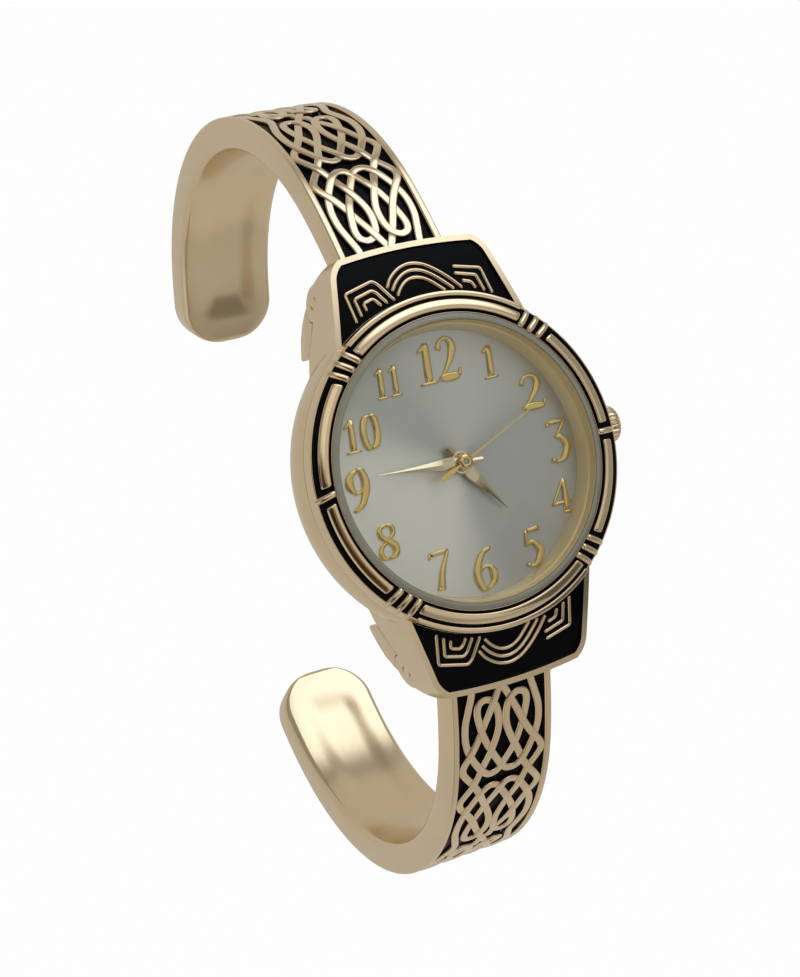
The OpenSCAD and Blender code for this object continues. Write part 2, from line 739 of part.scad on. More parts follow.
module circuit_board() {
    color("#2f5d3a") difference() {
        translate([0, 0, plate_low - 0.35]) linear_extrude(0.3) intersection() {
            calibre_outline(-0.3);
            translate([-calibre_w, -calibre_r]) square([2 * calibre_w, calibre_r - 0.4]);
        }
        translate([battery_x, battery_y, 0]) cylinder(r = battery_r + 0.15, h = case_h);
        translate([battery_x - clip_w / 2 - gap, battery_y - battery_r - 0.6, 0]) cube([clip_w + 2 * gap, 0.7, case_h]);
    }
}

module battery() {
    color("#b9bcc0") translate([battery_x, battery_y, 0]) {
        disc(battery_r, works_low + 0.5, plate_low - 0.02);
        disc(battery_r - 0.5, works_low + clip_t, works_low + 0.55);
    }
}

module battery_clip() {
    color("#cfd2d4") translate([battery_x, battery_y, 0]) difference() {
        union() {
            translate([-clip_w / 2, -battery_r - 0.2, works_low]) cube([clip_w, 2 * battery_r + 0.4, clip_t - eps]);
            translate([-clip_w / 2, -battery_r - 0.45, works_low]) cube([clip_w, 0.3, plate_low - works_low - gap]);
        }
        disc(0.3, 0, case_h);
    }
}

module movement_holder() {
    color("#e8e4da") difference() {
        disc(cavity_r - gap, neck_top + 0.05, dial_low - 0.02);
        translate([0, 0, -1]) linear_extrude(case_h) calibre_outline(gap);
        translate([0, 0, stem_z]) rotate([0, 90, 0]) cylinder(r = stem_r + 0.1, h = far);
    }
}

module seconds_arbor() {
    color("#c8a951") {
        disc(arbor_r, bridge_low - 0.05, second_hand_z + needle_t);
        gear(24, module_size, bridge_low + 0.85, bridge_low + 1.0);
    }
}

// Case back

module case_back() {
    color("#cbb98c") difference() {
        union() {
            rotate_extrude($fn = 120) polygon([[0, 0], [8.6, 0], [back_r - 0.1, 0.42], [back_r, 0.55],
                [back_r, back_t - gap], [0, back_t - gap]]);
            ring(neck_r - 0.02, neck_r - 0.45, back_t - gap - eps, neck_top - 0.05);
        }
        translate([0, -back_r, 0.6]) cube([2, 1.2, 0.5], center = true);
    }
}

module case_back_gasket() {
    color("#3a3a38") ring(back_r - 0.02, neck_r, back_t, back_t + 0.28);
}

// Crown

tube_r = 0.75;
tube_x = dial_r + 0.3;
crown_x = case_r + 0.4;
crown_end = crown_x + crown_l;

module to_stem() {
    translate([0, 0, stem_z]) rotate([0, 90, 0]) children();
}

module crown() {
    color(gold) to_stem() difference() {
        rotate_extrude() polygon([[0, crown_x], [crown_r - 0.15, crown_x], [crown_r, crown_x + 0.15],
            [crown_r, crown_end - 0.4], [crown_r - 0.12, crown_end - 0.16], [crown_r - 0.5, crown_end - 0.03], [0, crown_end]]);
        for (i = [0 : flutes - 1]) rotate([0, 0, i * 360 / flutes]) translate([crown_r + 0.06, 0, crown_x - 1])
            cylinder(r = 0.16, h = crown_l + 0.7, $fn = 24);
        translate([0, 0, crown_x - 1]) cylinder(r = tube_r + 0.27, h = 1.9);
        cylinder(r = stem_r, h = crown_end - 0.45);
    }
}

module crown_gasket() {
    color("#2d2d2d") to_stem() difference() {
        translate([0, 0, crown_x + 0.3]) cylinder(r = tube_r + 0.27, h = 0.4);
        cylinder(r = tube_r + 0.03, h = far);
    }
}

module crown_tube() {
    color(gold) to_stem() difference() {
        translate([0, 0, tube_x]) cylinder(r = tube_r, h = crown_x + 0.8 - tube_x);
        cylinder(r = stem_r + 0.04, h = far);
    }
}

yoke_x = 6.3;

module crown_stem() {
    color("#b8b8b4") to_stem() difference() {
        translate([0, 0, yoke_x - 1.7]) cylinder(r = stem_r, h = crown_end - 0.45 - yoke_x + 1.7);
        translate([0, 0, yoke_x - 0.1]) difference() {
            cylinder(r = 1, h = 0.5);
            translate([0, 0, -1]) cylinder(r = stem_r - 0.12, h = 3);
        }
    }
}

module setting_yoke() {
    color("#a8a8a0") difference() {
        translate([yoke_x, -0.8, plate_top + 0.03]) cube([0.3, 1.6, 0.9]);
        to_stem() cylinder(r = stem_r - 0.08, h = far);
    }
}

// Arms

half_w = band_w / 2;
channel_w = half_w - side_rail;

// Plain oval, drawn in Y and Z, at a distance below the cuff's outer face
module oval(inset) {
    strip = (flat_r - inset) * cos(join_angle);
    translate([0, cuff_z]) {
        for (side = [-1, 1]) translate([side * end_y, 0]) circle(cuff_end_r - inset, $fn = 240);
        intersection() {
            translate([0, -flat_dz]) circle(flat_r - inset, $fn = 360);
            translate([0, flat_dz]) circle(flat_r - inset, $fn = 360);
            square([2 * strip, 2 * cuff_b], center = true);
        }
    }
}

// Moves a piece modelled round the origin, with +Z outward, to a place along the outer face
module at_cuff(s) {
    p = on_cuff(s);
    translate([0, p[0], p[1]]) rotate([p[2] - 90, 0, 0]) children();
}

// Cuts an arm's end to a rounded tip
module tip_cutter() {
    wider = half_w + 0.06;
    at_cuff(arm_len) translate([0, 0, -band_t - 2]) linear_extrude(band_t + 4) difference() {
        translate([-far / 2, -tip_corner]) square([far, 2 * tip_corner]);
        translate([-wider + tip_corner, -tip_corner - 1]) square([2 * (wider - tip_corner), tip_corner + 1]);
        for (side = [-1, 1]) translate([side * (wider - tip_corner), -tip_corner]) circle(tip_corner);
    }
}

// A place at a depth below the outer face, in Y and Z
function in_cuff(s, d) = let(p = on_cuff(s)) [p[0] - d * cos(p[2]), p[1] - d * sin(p[2])];

// A long shallow hollow in the inner face, open to the wrist, with a sloping end near the tip
hollow_from = 39;

module inner_hollow() {
    end = arm_len - hollow_tip;
    top = band_t - hollow_d;
    along_x(band_w - 2 * hollow_rim) {
        between(hollow_from, end, [top, band_t + 0.5]);
        polygon([in_cuff(end - 0.3, top), in_cuff(end, top), in_cuff(end + 1.3, band_t),
            in_cuff(end + 1.3, band_t + 0.5), in_cuff(end - 0.3, band_t + 0.5)]);
    }
}

module root_profile() {
    difference() {
        polygon([[seam_y + 0.1, -0.3], [seam_y + 0.2, -0.52], [seam_y + 0.4, -0.6], [12.2, -0.6], [13.3, -0.3],
            [14.2, 0.35], [14.6, 0.75], [pivot_y - ear_r - 0.1, pivot_z - 0.1], [seam_y + 0.2, seam_z - 0.08],
            [seam_y + 0.1, seam_z - 0.15]]);
        translate([pivot_y, pivot_z]) circle(ear_r + 0.1);
    }
}

module neck_profile() {
    polygon([[13.0, 0.0], [14.6, pivot_z - ear_r], [14.6, pivot_z], [bay_y + 0.15, pivot_z - 0.1], [13.0, 1.6]]);
    translate([pivot_y, pivot_z]) circle(ear_r);
}

// A slab between two cuts across the cuff, as a wedge of the plane of Y and Z
module between(from, to, depth) {
    a = on_cuff(from);
    b = on_cuff(to);
    centre = [end_y * 0.6, cuff_z];
    intersection() {
        difference() {
            oval(depth[0]);
            oval(depth[1]);
        }
        polygon([centre, centre + 2 * ([a[0], a[1]] - centre), [far, far], [far, -far],
            centre + 2 * ([b[0], b[1]] - centre)]);
    }
}

// The channel, its black ground and the plait over it stop here, at the plate that closes the tip
ground_end = knot_start + knots * knot_l;

module band() {
    edge = 0.35;
    spread = arm_len + 1.2;
    along_x(band_w) between(root_s, spread, [channel_d, band_t - edge]);
    along_x(band_w - 2 * edge) between(root_s, spread, [channel_d, band_t]);
    difference() {
        along_x(band_w) between(root_s, spread, [0, channel_d + 0.2]);
        along_x(2 * channel_w) between(root_s - 1, ground_end, [-1, channel_d]);
    }
}

module arm() {
    difference() {
        union() {
            band();
            intersection() {
                along_x(far) root_profile();
                translate([0, 0, -3]) linear_extrude(case_h) hood_outline(0);
            }
            along_x(2 * (ear_in - 0.1)) neck_profile();
        }
        tip_cutter();
        inner_hollow();
        translate([0, pivot_y, pivot_z]) rotate([0, 90, 0]) {
            cylinder(r = pin_r + 0.03, h = far, center = true);
            cylinder(r = ear_r + 0.05, h = 2 * spring_bay, center = true);
        }
    }
}

module upper_arm() {
    color(gold) arm();
}

module lower_arm() {
    color(gold) mirror([0, 1, 0]) arm();
}

module channel_ground() {
    along_x(2 * channel_w) between(cover_start, ground_end, [channel_d - ground_t, channel_d]);
}

// Eyelets between the strands over a quarter of a knot, as [distance along the band, distance from its
// middle]. The other quarters mirror them across the middle and across the knot's far end.
eyelets = [
    [[0.2, 3.15], [1.3, 3.22], [2.2, 3.42], [3.5, 3.44], [4.7, 3.3], [5.2, 3.28], [5.5, 3.5], [5.3, 3.68], [0.9, 3.68]],
    [[1.5, 2.5], [2.3, 2.34], [3.3, 2.14], [3.75, 2.3], [4.6, 2.7], [3.6, 2.84], [2.3, 2.8]],
    [[0.78, 1.3], [0.95, 1.02], [1.6, 1.28], [2.5, 1.64], [2.1, 1.76], [1.4, 1.84], [0.92, 1.74]],
    [[1.75, 0.78], [2.4, 0.6], [3.2, 0.62], [4.2, 0.9], [4.6, 1.02], [4.2, 1.16], [3.5, 1.42], [2.5, 1.1]],
    [[3.9, 1.84], [4.5, 1.65], [5.2, 1.32], [6.1, 1.68], [6.5, 1.86], [6.0, 2.06], [5.2, 2.44], [4.6, 2.2]],
    [[5.7, 2.83], [6.5, 2.42], [7.05, 2.08], [7.65, 2.38], [7.2, 2.74], [6.6, 3.08], [6.1, 3.04]],
    [[5.8, 1.02], [6.4, 0.78], [7.05, 0.42], [7.3, 0.75], [7.22, 1.15], [6.9, 1.42], [6.4, 1.24]]];
middle_eyelet = [[0.6, 0], [1.1, 0.14], [2.2, 0.09], [3.2, 0.1], [4.1, 0.33], [5.2, 0.68], [6.1, 0.27], [6.6, 0],
    [6.1, -0.27], [5.2, -0.68], [4.1, -0.33], [3.2, -0.1], [2.2, -0.09], [1.1, -0.14]];

// Eyelets that straddle the line where two knots meet, measured from that line
divider = [[0, 1.98], [0.5, 1.72], [0.35, 1.2], [0.35, 0.7], [0.55, 0.1], [0.55, -0.1], [0.35, -0.7], [0.35, -1.2],
    [0.5, -1.72], [0, -1.98], [-0.5, -1.72], [-0.35, -1.2], [-0.35, -0.7], [-0.55, -0.1], [-0.55, 0.1],
    [-0.35, 0.7], [-0.35, 1.2], [-0.5, 1.72]];
divider_edge = [[0, 2.8], [0.4, 3.1], [1.05, 3.55], [-1.05, 3.55], [-0.4, 3.1]];
joint_eyelet = [[0, 0.42], [0.85, 0.85], [0.75, 1.4], [0.9, 1.95], [0.85, 2.2], [0, 2.12], [-0.85, 2.2],
    [-0.9, 1.95], [-0.75, 1.4], [-0.85, 0.85]];
knot_lead = 0.6;

// One pierced eyelet, square to the band at its own place
module eyelet(s, points) {
    mid = (max([for (q = points) q[0]]) + min([for (q = points) q[0]])) / 2;
    at_cuff(s + mid) translate([0, 0, -2]) linear_extrude(4)
        polygon([for (q = points) [q[1], -(q[0] - mid)]]);
}

function flip(points, along, across) = [for (q = points) [q[0] * along, q[1] * across]];

module knot_eyelets(k) {
    start = knot_start + (k % 2 == 0 ? k : k + 1) * knot_l;
    way = k % 2 == 0 ? 1 : -1;
    shift = [for (e = eyelets) [for (q = e) [q[0] + knot_lead, q[1]]]];
    for (e = shift, side = [-1, 1]) eyelet(start, flip(e, way, side));
    eyelet(start, flip([for (q = middle_eyelet) [q[0] + knot_lead, q[1]]], way, 1));
}

module all_eyelets() {
    for (k = [0 : knots - 1]) knot_eyelets(k);
    for (k = [1 : 2 : knots - 1]) {
        eyelet(knot_start + k * knot_l, divider);
        for (side = [-1, 1]) eyelet(knot_start + k * knot_l, flip(divider_edge, 1, side));
    }
    for (k = [0 : 2 : knots - 2], side = [-1, 1]) eyelet(knot_start + k * knot_l, flip(joint_eyelet, 1, side));
}

// The plait: a curved strip pierced between its strands, one knot after another, each the mirror of the last
module knotwork() {
    difference() {
        along_x(2 * channel_w) between(cover_start + 0.02, ground_end - 0.02, [0.04, channel_d - ground_t]);
        all_eyelets();
    }
}

module upper_arm_ground() {
    color(black) channel_ground();
}

module lower_arm_ground() {
    color(black) mirror([0, 1, 0]) channel_ground();
}

module upper_knotwork() {
    color(pale_gold) knotwork();
}

module lower_knotwork() {
    color(pale_gold) mirror([0, 1, 0]) knotwork();
}

// Hinge pins and springs

pin_l = 2 * hood_side(pivot_y, 0);

module hinge_pin() {
    translate([0, pivot_y, pivot_z]) rotate([0, 90, 0]) cylinder(r = pin_r, h = pin_l, center = true);
}

module upper_hinge_pin() {
    color(pale_gold) hinge_pin();
}

module lower_hinge_pin() {
    color(pale_gold) mirror([0, 1, 0]) hinge_pin();
}

spring_turns = 12;
spring_r = pin_r + 0.08 + wire_r;
spring_steps = 8;
wire_sides = 6;
spring_l = 2 * spring_bay - 4 * wire_r;

// One wire ring of six points for each step of the helix, capped at both ends
function wire_point(i, j) = let(a = i * 360 / spring_steps, b = j * 360 / wire_sides, r = spring_r + wire_r * cos(b))
    [-spring_l / 2 + spring_l * i / (spring_turns * spring_steps) + wire_r * sin(b), r * cos(a), r * sin(a)];

module hinge_spring() {
    n = spring_turns * spring_steps;
    points = [for (i = [0 : n], j = [0 : wire_sides - 1]) wire_point(i, j)];
    walls = [for (i = [0 : n - 1], j = [0 : wire_sides - 1]) let(k = (j + 1) % wire_sides, a = i * wire_sides,
        b = a + wire_sides) each [[a + j, a + k, b + j], [a + k, b + k, b + j]]];
    caps = [for (j = [1 : wire_sides - 2]) each [[0, j + 1, j],
        [n * wire_sides, n * wire_sides + j, n * wire_sides + j + 1]]];
    translate([0, pivot_y, pivot_z]) polyhedron(points, concat(walls, caps));
}

module upper_hinge_spring() {
    color("#8d8f92") hinge_spring();
}

module lower_hinge_spring() {
    color("#8d8f92") mirror([0, 1, 0]) hinge_spring();
}

case_body();
bezel();
bezel_enamel();
upper_lug_enamel();
lower_lug_enamel();
upper_lug_relief();
lower_lug_relief();
crystal();
crystal_gasket();
dial_flange();
dial();
hour_numerals();
movement_holder();
main_plate();
train_bridge();
battery();
battery_clip();
circuit_board();
coil();
case_back();
case_back_gasket();
crown();
crown_gasket();
crown_stem();
crown_tube();
setting_yoke();
hour_hand();
minute_hand();
seconds_hand();
hour_wheel();
cannon_pinion();
minute_wheel();
seconds_arbor();
upper_arm();
lower_arm();
upper_arm_ground();
lower_arm_ground();
upper_knotwork();
lower_knotwork();
upper_hinge_pin();
lower_hinge_pin();
upper_hinge_spring();
lower_hinge_spring();
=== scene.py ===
# %% [markdown]
# # A bangle watch
#
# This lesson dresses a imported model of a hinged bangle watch: a round gilt case with a silver
# dial, two hooded lugs with black enamel panels, and a rigid half-cuff sprung under each hood.
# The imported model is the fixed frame. Each step says what a piece is on the real watch and how
# it could be made, makes it, and prints what came out.

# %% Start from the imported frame
import itertools
import math

import bmesh
import bpy
import numpy as np
from mathutils import Matrix, Vector


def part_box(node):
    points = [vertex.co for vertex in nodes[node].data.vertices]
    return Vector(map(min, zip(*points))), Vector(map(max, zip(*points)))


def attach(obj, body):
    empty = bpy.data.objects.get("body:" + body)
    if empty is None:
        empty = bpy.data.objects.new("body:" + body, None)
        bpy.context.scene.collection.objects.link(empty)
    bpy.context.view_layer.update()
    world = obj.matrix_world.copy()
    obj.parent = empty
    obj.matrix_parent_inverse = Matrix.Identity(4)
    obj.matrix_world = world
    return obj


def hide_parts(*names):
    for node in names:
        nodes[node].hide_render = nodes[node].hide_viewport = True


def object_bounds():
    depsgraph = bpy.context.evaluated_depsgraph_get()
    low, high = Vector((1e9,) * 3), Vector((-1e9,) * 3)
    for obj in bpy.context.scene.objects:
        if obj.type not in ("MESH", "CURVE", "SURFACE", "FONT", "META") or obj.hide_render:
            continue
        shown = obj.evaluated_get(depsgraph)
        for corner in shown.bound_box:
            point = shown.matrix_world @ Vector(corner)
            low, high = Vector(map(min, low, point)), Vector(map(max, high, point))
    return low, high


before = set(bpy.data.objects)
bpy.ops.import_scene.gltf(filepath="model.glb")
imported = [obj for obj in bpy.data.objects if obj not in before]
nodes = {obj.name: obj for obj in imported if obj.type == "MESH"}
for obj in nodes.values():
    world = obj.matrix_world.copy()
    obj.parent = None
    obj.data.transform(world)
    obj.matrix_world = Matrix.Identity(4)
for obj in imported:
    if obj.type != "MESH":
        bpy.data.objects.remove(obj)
cad_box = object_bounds()
scene = bpy.context.scene
MM = 0.001
print("frame box", [[round(float(v) / MM, 2) for v in corner] for corner in cad_box])


def linked(name, data):
    """A new object at the origin."""
    made = bpy.data.objects.new(name, data)
    scene.collection.objects.link(made)
    return made


# %% [markdown]
# ## Camera
#
# The camera comes first, because the whole picture depends on it. Its place
# was solved from the round bezel and the oval of the cuff: it looks at a point near the dial
# from a distance, turned a little to the side and tilted, so the watch leans in the picture.

# %% Camera
AIM = Vector((-6.40, -0.706, 8.0))
YAW, PITCH, ROLL = (math.radians(a) for a in (24.14, 0.95, -14.23))
DISTANCE, LENS = 132.7, 66.06


def camera_matrix():
    back = Vector((-math.sin(YAW) * math.cos(PITCH), math.sin(PITCH), math.cos(YAW) * math.cos(PITCH)))
    right = Vector((0, 1, 0)).cross(back).normalized()
    up = back.cross(right)
    across = math.cos(ROLL) * right + math.sin(ROLL) * up
    upward = -math.sin(ROLL) * right + math.cos(ROLL) * up
    m = Matrix((across, upward, back)).transposed().to_4x4()
    m.translation = (AIM + DISTANCE * back) * MM
    return m


camera = linked("camera", bpy.data.cameras.new("camera"))
camera.matrix_world = camera_matrix()
camera.data.sensor_width = 36
camera.data.lens = LENS
camera.data.clip_start = 0.005
scene.camera = camera
scene.view_settings.view_transform = "Standard"
print("camera", DISTANCE, "mm from its aim, lens", LENS, "mm")

# %% [markdown]
# ## Sums in Python's own signs
#
# Node trees are easier to read as formulas. The class Sock wraps a socket, so that a + b adds
# an Add node. The method node() of Graph adds any other node, sets its settings first and then
# fills its inputs with numbers or links. Colours and vectors have a method each, because a Math
# node would turn a colour grey. Shader trees and geometry trees use the same two classes.


# %% Sockets that add and multiply
class Sock:
    def __init__(self, graph, socket):
        self.graph = graph
        self.socket = socket

    def maths(self, operation, *values):
        return self.graph.node("ShaderNodeMath", dict(enumerate(values)), operation=operation)

    def __add__(self, other):
        return self.maths("ADD", self, other)

    def __radd__(self, other):
        return self.maths("ADD", other, self)

    def __sub__(self, other):
        return self.maths("SUBTRACT", self, other)

    def __rsub__(self, other):
        return self.maths("SUBTRACT", other, self)

    def __mul__(self, other):
        return self.maths("MULTIPLY", self, other)

    def __rmul__(self, other):
        return self.maths("MULTIPLY", other, self)

    def __truediv__(self, other):
        return self.maths("DIVIDE", self, other)

    def clamp(self):
        return self.graph.node("ShaderNodeClamp", {0: self})

    def output(self, number):
        """Another output of the same node."""
        return Sock(self.graph, self.socket.node.outputs[number])


class Graph:
    def __init__(self, tree):
        self.tree = tree

    def node(self, kind, sockets=None, out=0, **settings):
        made = self.tree.nodes.new(kind)
        for name, value in settings.items():
            setattr(made, name, value)
        for key, value in (sockets or {}).items():
            if isinstance(value, Sock):
                self.tree.links.new(value.socket, made.inputs[key])
            else:
                made.inputs[key].default_value = value
        return Sock(self, made.outputs[out]) if made.outputs else made

    def vector(self, operation, *values, out=0):
        return self.node("ShaderNodeVectorMath", dict(enumerate(values)), out, operation=operation)

    def blend(self, factor, *colours):
        """The colour between two colours. A plain one gets its alpha here."""
        first, second = (c if isinstance(c, Sock) else (*c, 1) for c in colours)
        return self.node("ShaderNodeMix", {0: factor, 6: first, 7: second}, out=2, data_type="RGBA")


def blank_material(name):
    """A material with an empty tree, and the graph that fills it."""
    material = bpy.data.materials.new(name)
    material.use_nodes = True
    material.node_tree.nodes.clear()
    return material, Graph(material.node_tree)


# %% [markdown]
# ## Studio
#
# A product picture of plated metal is mostly a picture of what stands round it. A photographer
# would set up panels and cards. Here the world itself holds them, as soft round patches of light
# and dark in chosen directions, because a patch is one formula and casts no shadow. Metal that
# faces the window turns pale and cool, and metal that faces the dark patches turns brown. The
# camera itself sees plain white behind the watch.


# %% Floor
def sheet(name, half_width, half_height, level=0.0):
    mesh = bpy.data.meshes.new(name)
    signs = ((-1, -1), (1, -1), (1, 1), (-1, 1))
    mesh.from_pydata([(x * half_width, y * half_height, level) for x, y in signs], [], [(0, 1, 2, 3)])
    return linked(name, mesh)


CAMERA_RAY, GLOSSY_RAY = 0, 3
SEEN_WHITE, MIRRORED_GREY = 0.985, 0.6
floor = sheet("floor", 2, 2, cad_box[0][2])
paper, g = blank_material("pale_paper")
ray = g.node("ShaderNodeLightPath")
plain = g.node("ShaderNodeBsdfDiffuse", {"Color": (0.8, 0.8, 0.8, 1)})
seen_white = g.node("ShaderNodeEmission", {"Color": (1, 1, 1, 1), "Strength": SEEN_WHITE})
mirrored_grey = g.node("ShaderNodeEmission", {"Color": (1, 0.985, 0.95, 1), "Strength": MIRRORED_GREY})
bounced = g.node("ShaderNodeMixShader", {0: ray.output(GLOSSY_RAY), 1: plain, 2: mirrored_grey})
shown = g.node("ShaderNodeMixShader", {0: ray.output(CAMERA_RAY), 1: bounced, 2: seen_white})
g.node("ShaderNodeOutputMaterial", {0: shown})
floor.data.materials.append(paper)
print("floor at", round(cad_box[0][2] / MM, 2), "mm")

# %% Light and dark patches of the world
world = bpy.data.worlds.new("studio_air")
scene.world = world
world.use_nodes = True
world.node_tree.nodes.clear()
sky = Graph(world.node_tree)
direction = sky.node("ShaderNodeTexCoord")


def patch(way, wide, soft):
    """1 inside a round patch of the world, falling softly to 0 outside it. Sizes are in degrees."""
    facing = sky.vector("DOT_PRODUCT", direction, Vector(way).normalized(), out=1)
    start = math.cos(math.radians(wide + soft))
    end = math.cos(math.radians(wide))
    t = ((facing - start) / (end - start)).clamp()
    return t * t * (3 - 2 * t)


window = patch((0.41, 0.7, 0.58), 14, 15)
low_window = patch((-0.75, -0.45, 0.35), 16, 22)
ceiling = patch((0.3, -0.1, 0.95), 12, 22)
low_wall = patch((0.45, -0.84, 0.32), 14, 16)
pale_card = patch((-0.14, 0.33, 0.93), 8, 12)
dark_front = patch((-0.37, -0.03, 0.93), 8, 8)
dark_low = patch((-0.22, -0.45, 0.87), 9, 10)
dark_middle = patch((-0.12, -0.2, 0.97), 9, 11)
bright = 0.36 + pale_card * 0.55 + window * 1.45 + low_window * 0.35 + ceiling * 0.3 + low_wall * 0.17
strength = bright * (1 - dark_front * 0.85) * (1 - dark_low * 0.7) * (1 - dark_middle * 0.65)
brown = (dark_low + dark_middle * 0.8 + dark_front * 0.5).clamp()
day = sky.blend(window, (1, 0.985, 0.95), (0.89, 1, 1.15))
air = sky.node("ShaderNodeBackground", {"Color": sky.blend(brown, day, (1, 0.66, 0.4)), "Strength": strength})
clear = sky.node("ShaderNodeBackground", {"Color": (1, 1, 1, 1), "Strength": SEEN_WHITE})
shown = sky.node("ShaderNodeMixShader", {0: sky.node("ShaderNodeLightPath"), 1: air, 2: clear})
sky.node("ShaderNodeOutputWorld", {0: shown})
print("world nodes:", len(world.node_tree.nodes))


# %% Lamps and cards
def turned_to(place, aim, front):
    return (Vector(aim) - Vector(place)).to_track_quat(front, "Y")


def softbox(name, place, aim, size, power):
    """A square lamp that lights the watch but isn't mirrored in it."""
    lamp = linked(name, bpy.data.lights.new(name, "AREA"))
    lamp.data.shape = "RECTANGLE"
    lamp.data.size = lamp.data.size_y = size * MM
    lamp.data.energy = power
    lamp.location = Vector(place) * MM
    lamp.rotation_euler = turned_to(place, aim, "-Z").to_euler()
    lamp.visible_glossy = False


def dark_card(name, place, aim, width, height, colour):
    """A card that only reflections see."""
    made = sheet(name, width * MM / 2, height * MM / 2)
    turn = turned_to(place, aim, "Z").to_matrix().to_4x4()
    turn.translation = Vector(place) * MM
    made.matrix_world = turn
    for side in ("camera", "diffuse", "shadow", "transmission", "volume_scatter"):
        setattr(made, "visible_" + side, False)
    paint, g = blank_material(name)
    glow = g.node("ShaderNodeEmission", {"Color": (*colour, 1), "Strength": 1.0})
    g.node("ShaderNodeOutputMaterial", {0: glow})
    made.data.materials.append(paint)


WATCH_MIDDLE = (0, 0, -10)
softbox("key_box", (131, 192, 218), WATCH_MIDDLE, 110, 0.32)
softbox("fill_box", (-210, -60, 190), WATCH_MIDDLE, 200, 0.28)
dark_card("dark_card_side", (-190, 30, 60), (0, 0, 0), 50, 180, (0.05, 0.035, 0.025))
dark_card("dark_card_near", (36, -29, 43), (-1, 20, -35), 18, 34, (0.12, 0.12, 0.11))
print("two lamps and two dark cards")

# %% [markdown]
# ## Finishes
#
# Plated fashion jewellery is never one flat gold. Thin plating varies a little in colour, fine
# wiping marks catch the light, and the polish is softer on the cuff than on the bezel. Painted
# maps could show this, but would need an unwrapped surface. One function makes every gold from
# the same idea instead: two close colours mixed by a slow noise, a roughness that varies with a
# second noise, and a bump of fine hairlines in one direction.

# %% Gold
HAIR_DEPTH = 0.00004


def noise(g, place, scale, detail=2.0, rough=0.5, stretch=None):
    if stretch:
        place = g.node("ShaderNodeMapping", {0: place, 3: stretch})
    sockets = {"Vector": place, "Scale": scale, "Detail": detail, "Roughness": rough}
    return g.node("ShaderNodeTexNoise", sockets)


def finish(g, colour, rough, height, strength, depth, even):
    """Ends a tree: colour, roughness and bump vary, and even values go on the shader's own sockets."""
    bump = g.node("ShaderNodeBump", {"Strength": strength, "Distance": depth, "Height": height})
    sockets = {"Base Color": colour, "Roughness": rough, "Normal": bump}
    g.node("ShaderNodeOutputMaterial", {0: g.node("ShaderNodeBsdfPrincipled", {**sockets, **even})})


def plated(name, light, dark, rough, spread, lines=(1, 1, 1), strength=0.04, line_scale=900, metal=1.0):
    material, g = blank_material(name)
    place = g.node("ShaderNodeTexCoord", out=3)
    colour = g.blend(noise(g, place, 160, 3), light, dark)
    wiped = noise(g, place, 420, 4, 0.6) * spread + (rough - spread / 2)
    hair = noise(g, place, line_scale, 3, 0.55, lines)
    finish(g, colour, wiped, hair, strength, HAIR_DEPTH, {"Metallic": metal})
    return material


GOLD = (0.80, 0.64, 0.42), (0.70, 0.545, 0.335)
polished_gold = plated("polished_gold", *GOLD, 0.1, 0.06)
case_gold = plated("case_gold", *GOLD, 0.2, 0.1, (1, 1, 6), 0.08)
cuff_gold = plated("cuff_gold", *GOLD, 0.22, 0.1, (5, 1, 1), 0.1)
knot_gold = plated("knot_gold", (0.86, 0.70, 0.48), (0.70, 0.53, 0.33), 0.17, 0.12, (1, 1, 1), 0.1)
back_gold = plated("back_gold", (0.74, 0.62, 0.43), (0.66, 0.53, 0.34), 0.3, 0.1, (1, 12, 1), 0.2)
figure_gold = plated("figure_gold", (0.86, 0.66, 0.24), (0.72, 0.52, 0.16), 0.16, 0.08)
hand_gold = plated("hand_gold", (0.80, 0.68, 0.45), (0.7, 0.57, 0.34), 0.18, 0.08)
TAN = (0.72, 0.57, 0.3), (0.62, 0.48, 0.24)
flange_gold = plated("flange_gold", *TAN, 0.24, 0.12, (1, 1, 8), 0.2, metal=0.35)
plain_brass = plated("plain_brass", (0.76, 0.6, 0.28), (0.66, 0.5, 0.22), 0.3, 0.1, (1, 6, 1), 0.15)
nickel = plated("nickel_plate", (0.7, 0.68, 0.62), (0.62, 0.6, 0.55), 0.32, 0.1, (1, 8, 1), 0.2)
steel = plated("brushed_steel", (0.62, 0.62, 0.61), (0.52, 0.52, 0.52), 0.3, 0.1, (1, 8, 1), 0.2)
wire_steel = plated("spring_wire", (0.45, 0.45, 0.45), (0.36, 0.36, 0.37), 0.25, 0.1)
copper = plated("copper_wire", (0.72, 0.32, 0.16), (0.55, 0.22, 0.1), 0.3, 0.1, (12, 1, 1), 0.5, 400)
print("materials so far:", len(bpy.data.materials))

# %% [markdown]
# ### Enamel and the brushed dial
# The black fill is poured and cures with a slight waviness, so it gets a slow bump and hardly
# any shine. The dial is brushed outward from its centre. Its hairlines are a noise read from the
# direction out of the centre without the length, so each line runs along a radius. The brushing
# throws the light into two soft bright fan shapes. A mirror finish with real grooves would need
# thousands of faces for them, so they are painted highlights: a lighter colour mixed into the
# base colour by the same direction.


# %% Enamel and dial
def black_enamel():
    material, g = blank_material("black_enamel")
    place = g.node("ShaderNodeTexCoord", out=3)
    colour = g.blend(noise(g, place, 260, 2), (0.001, 0.001, 0.0013), (0.002, 0.002, 0.0024))
    rough = noise(g, place, 700, 3) * 0.12 + 0.1
    even = {"Specular IOR Level": 0.04, "Coat Weight": 0.01, "Coat Roughness": 0.04}
    finish(g, colour, rough, noise(g, place, 420, 2), 0.25, 0.00008, even)
    return material


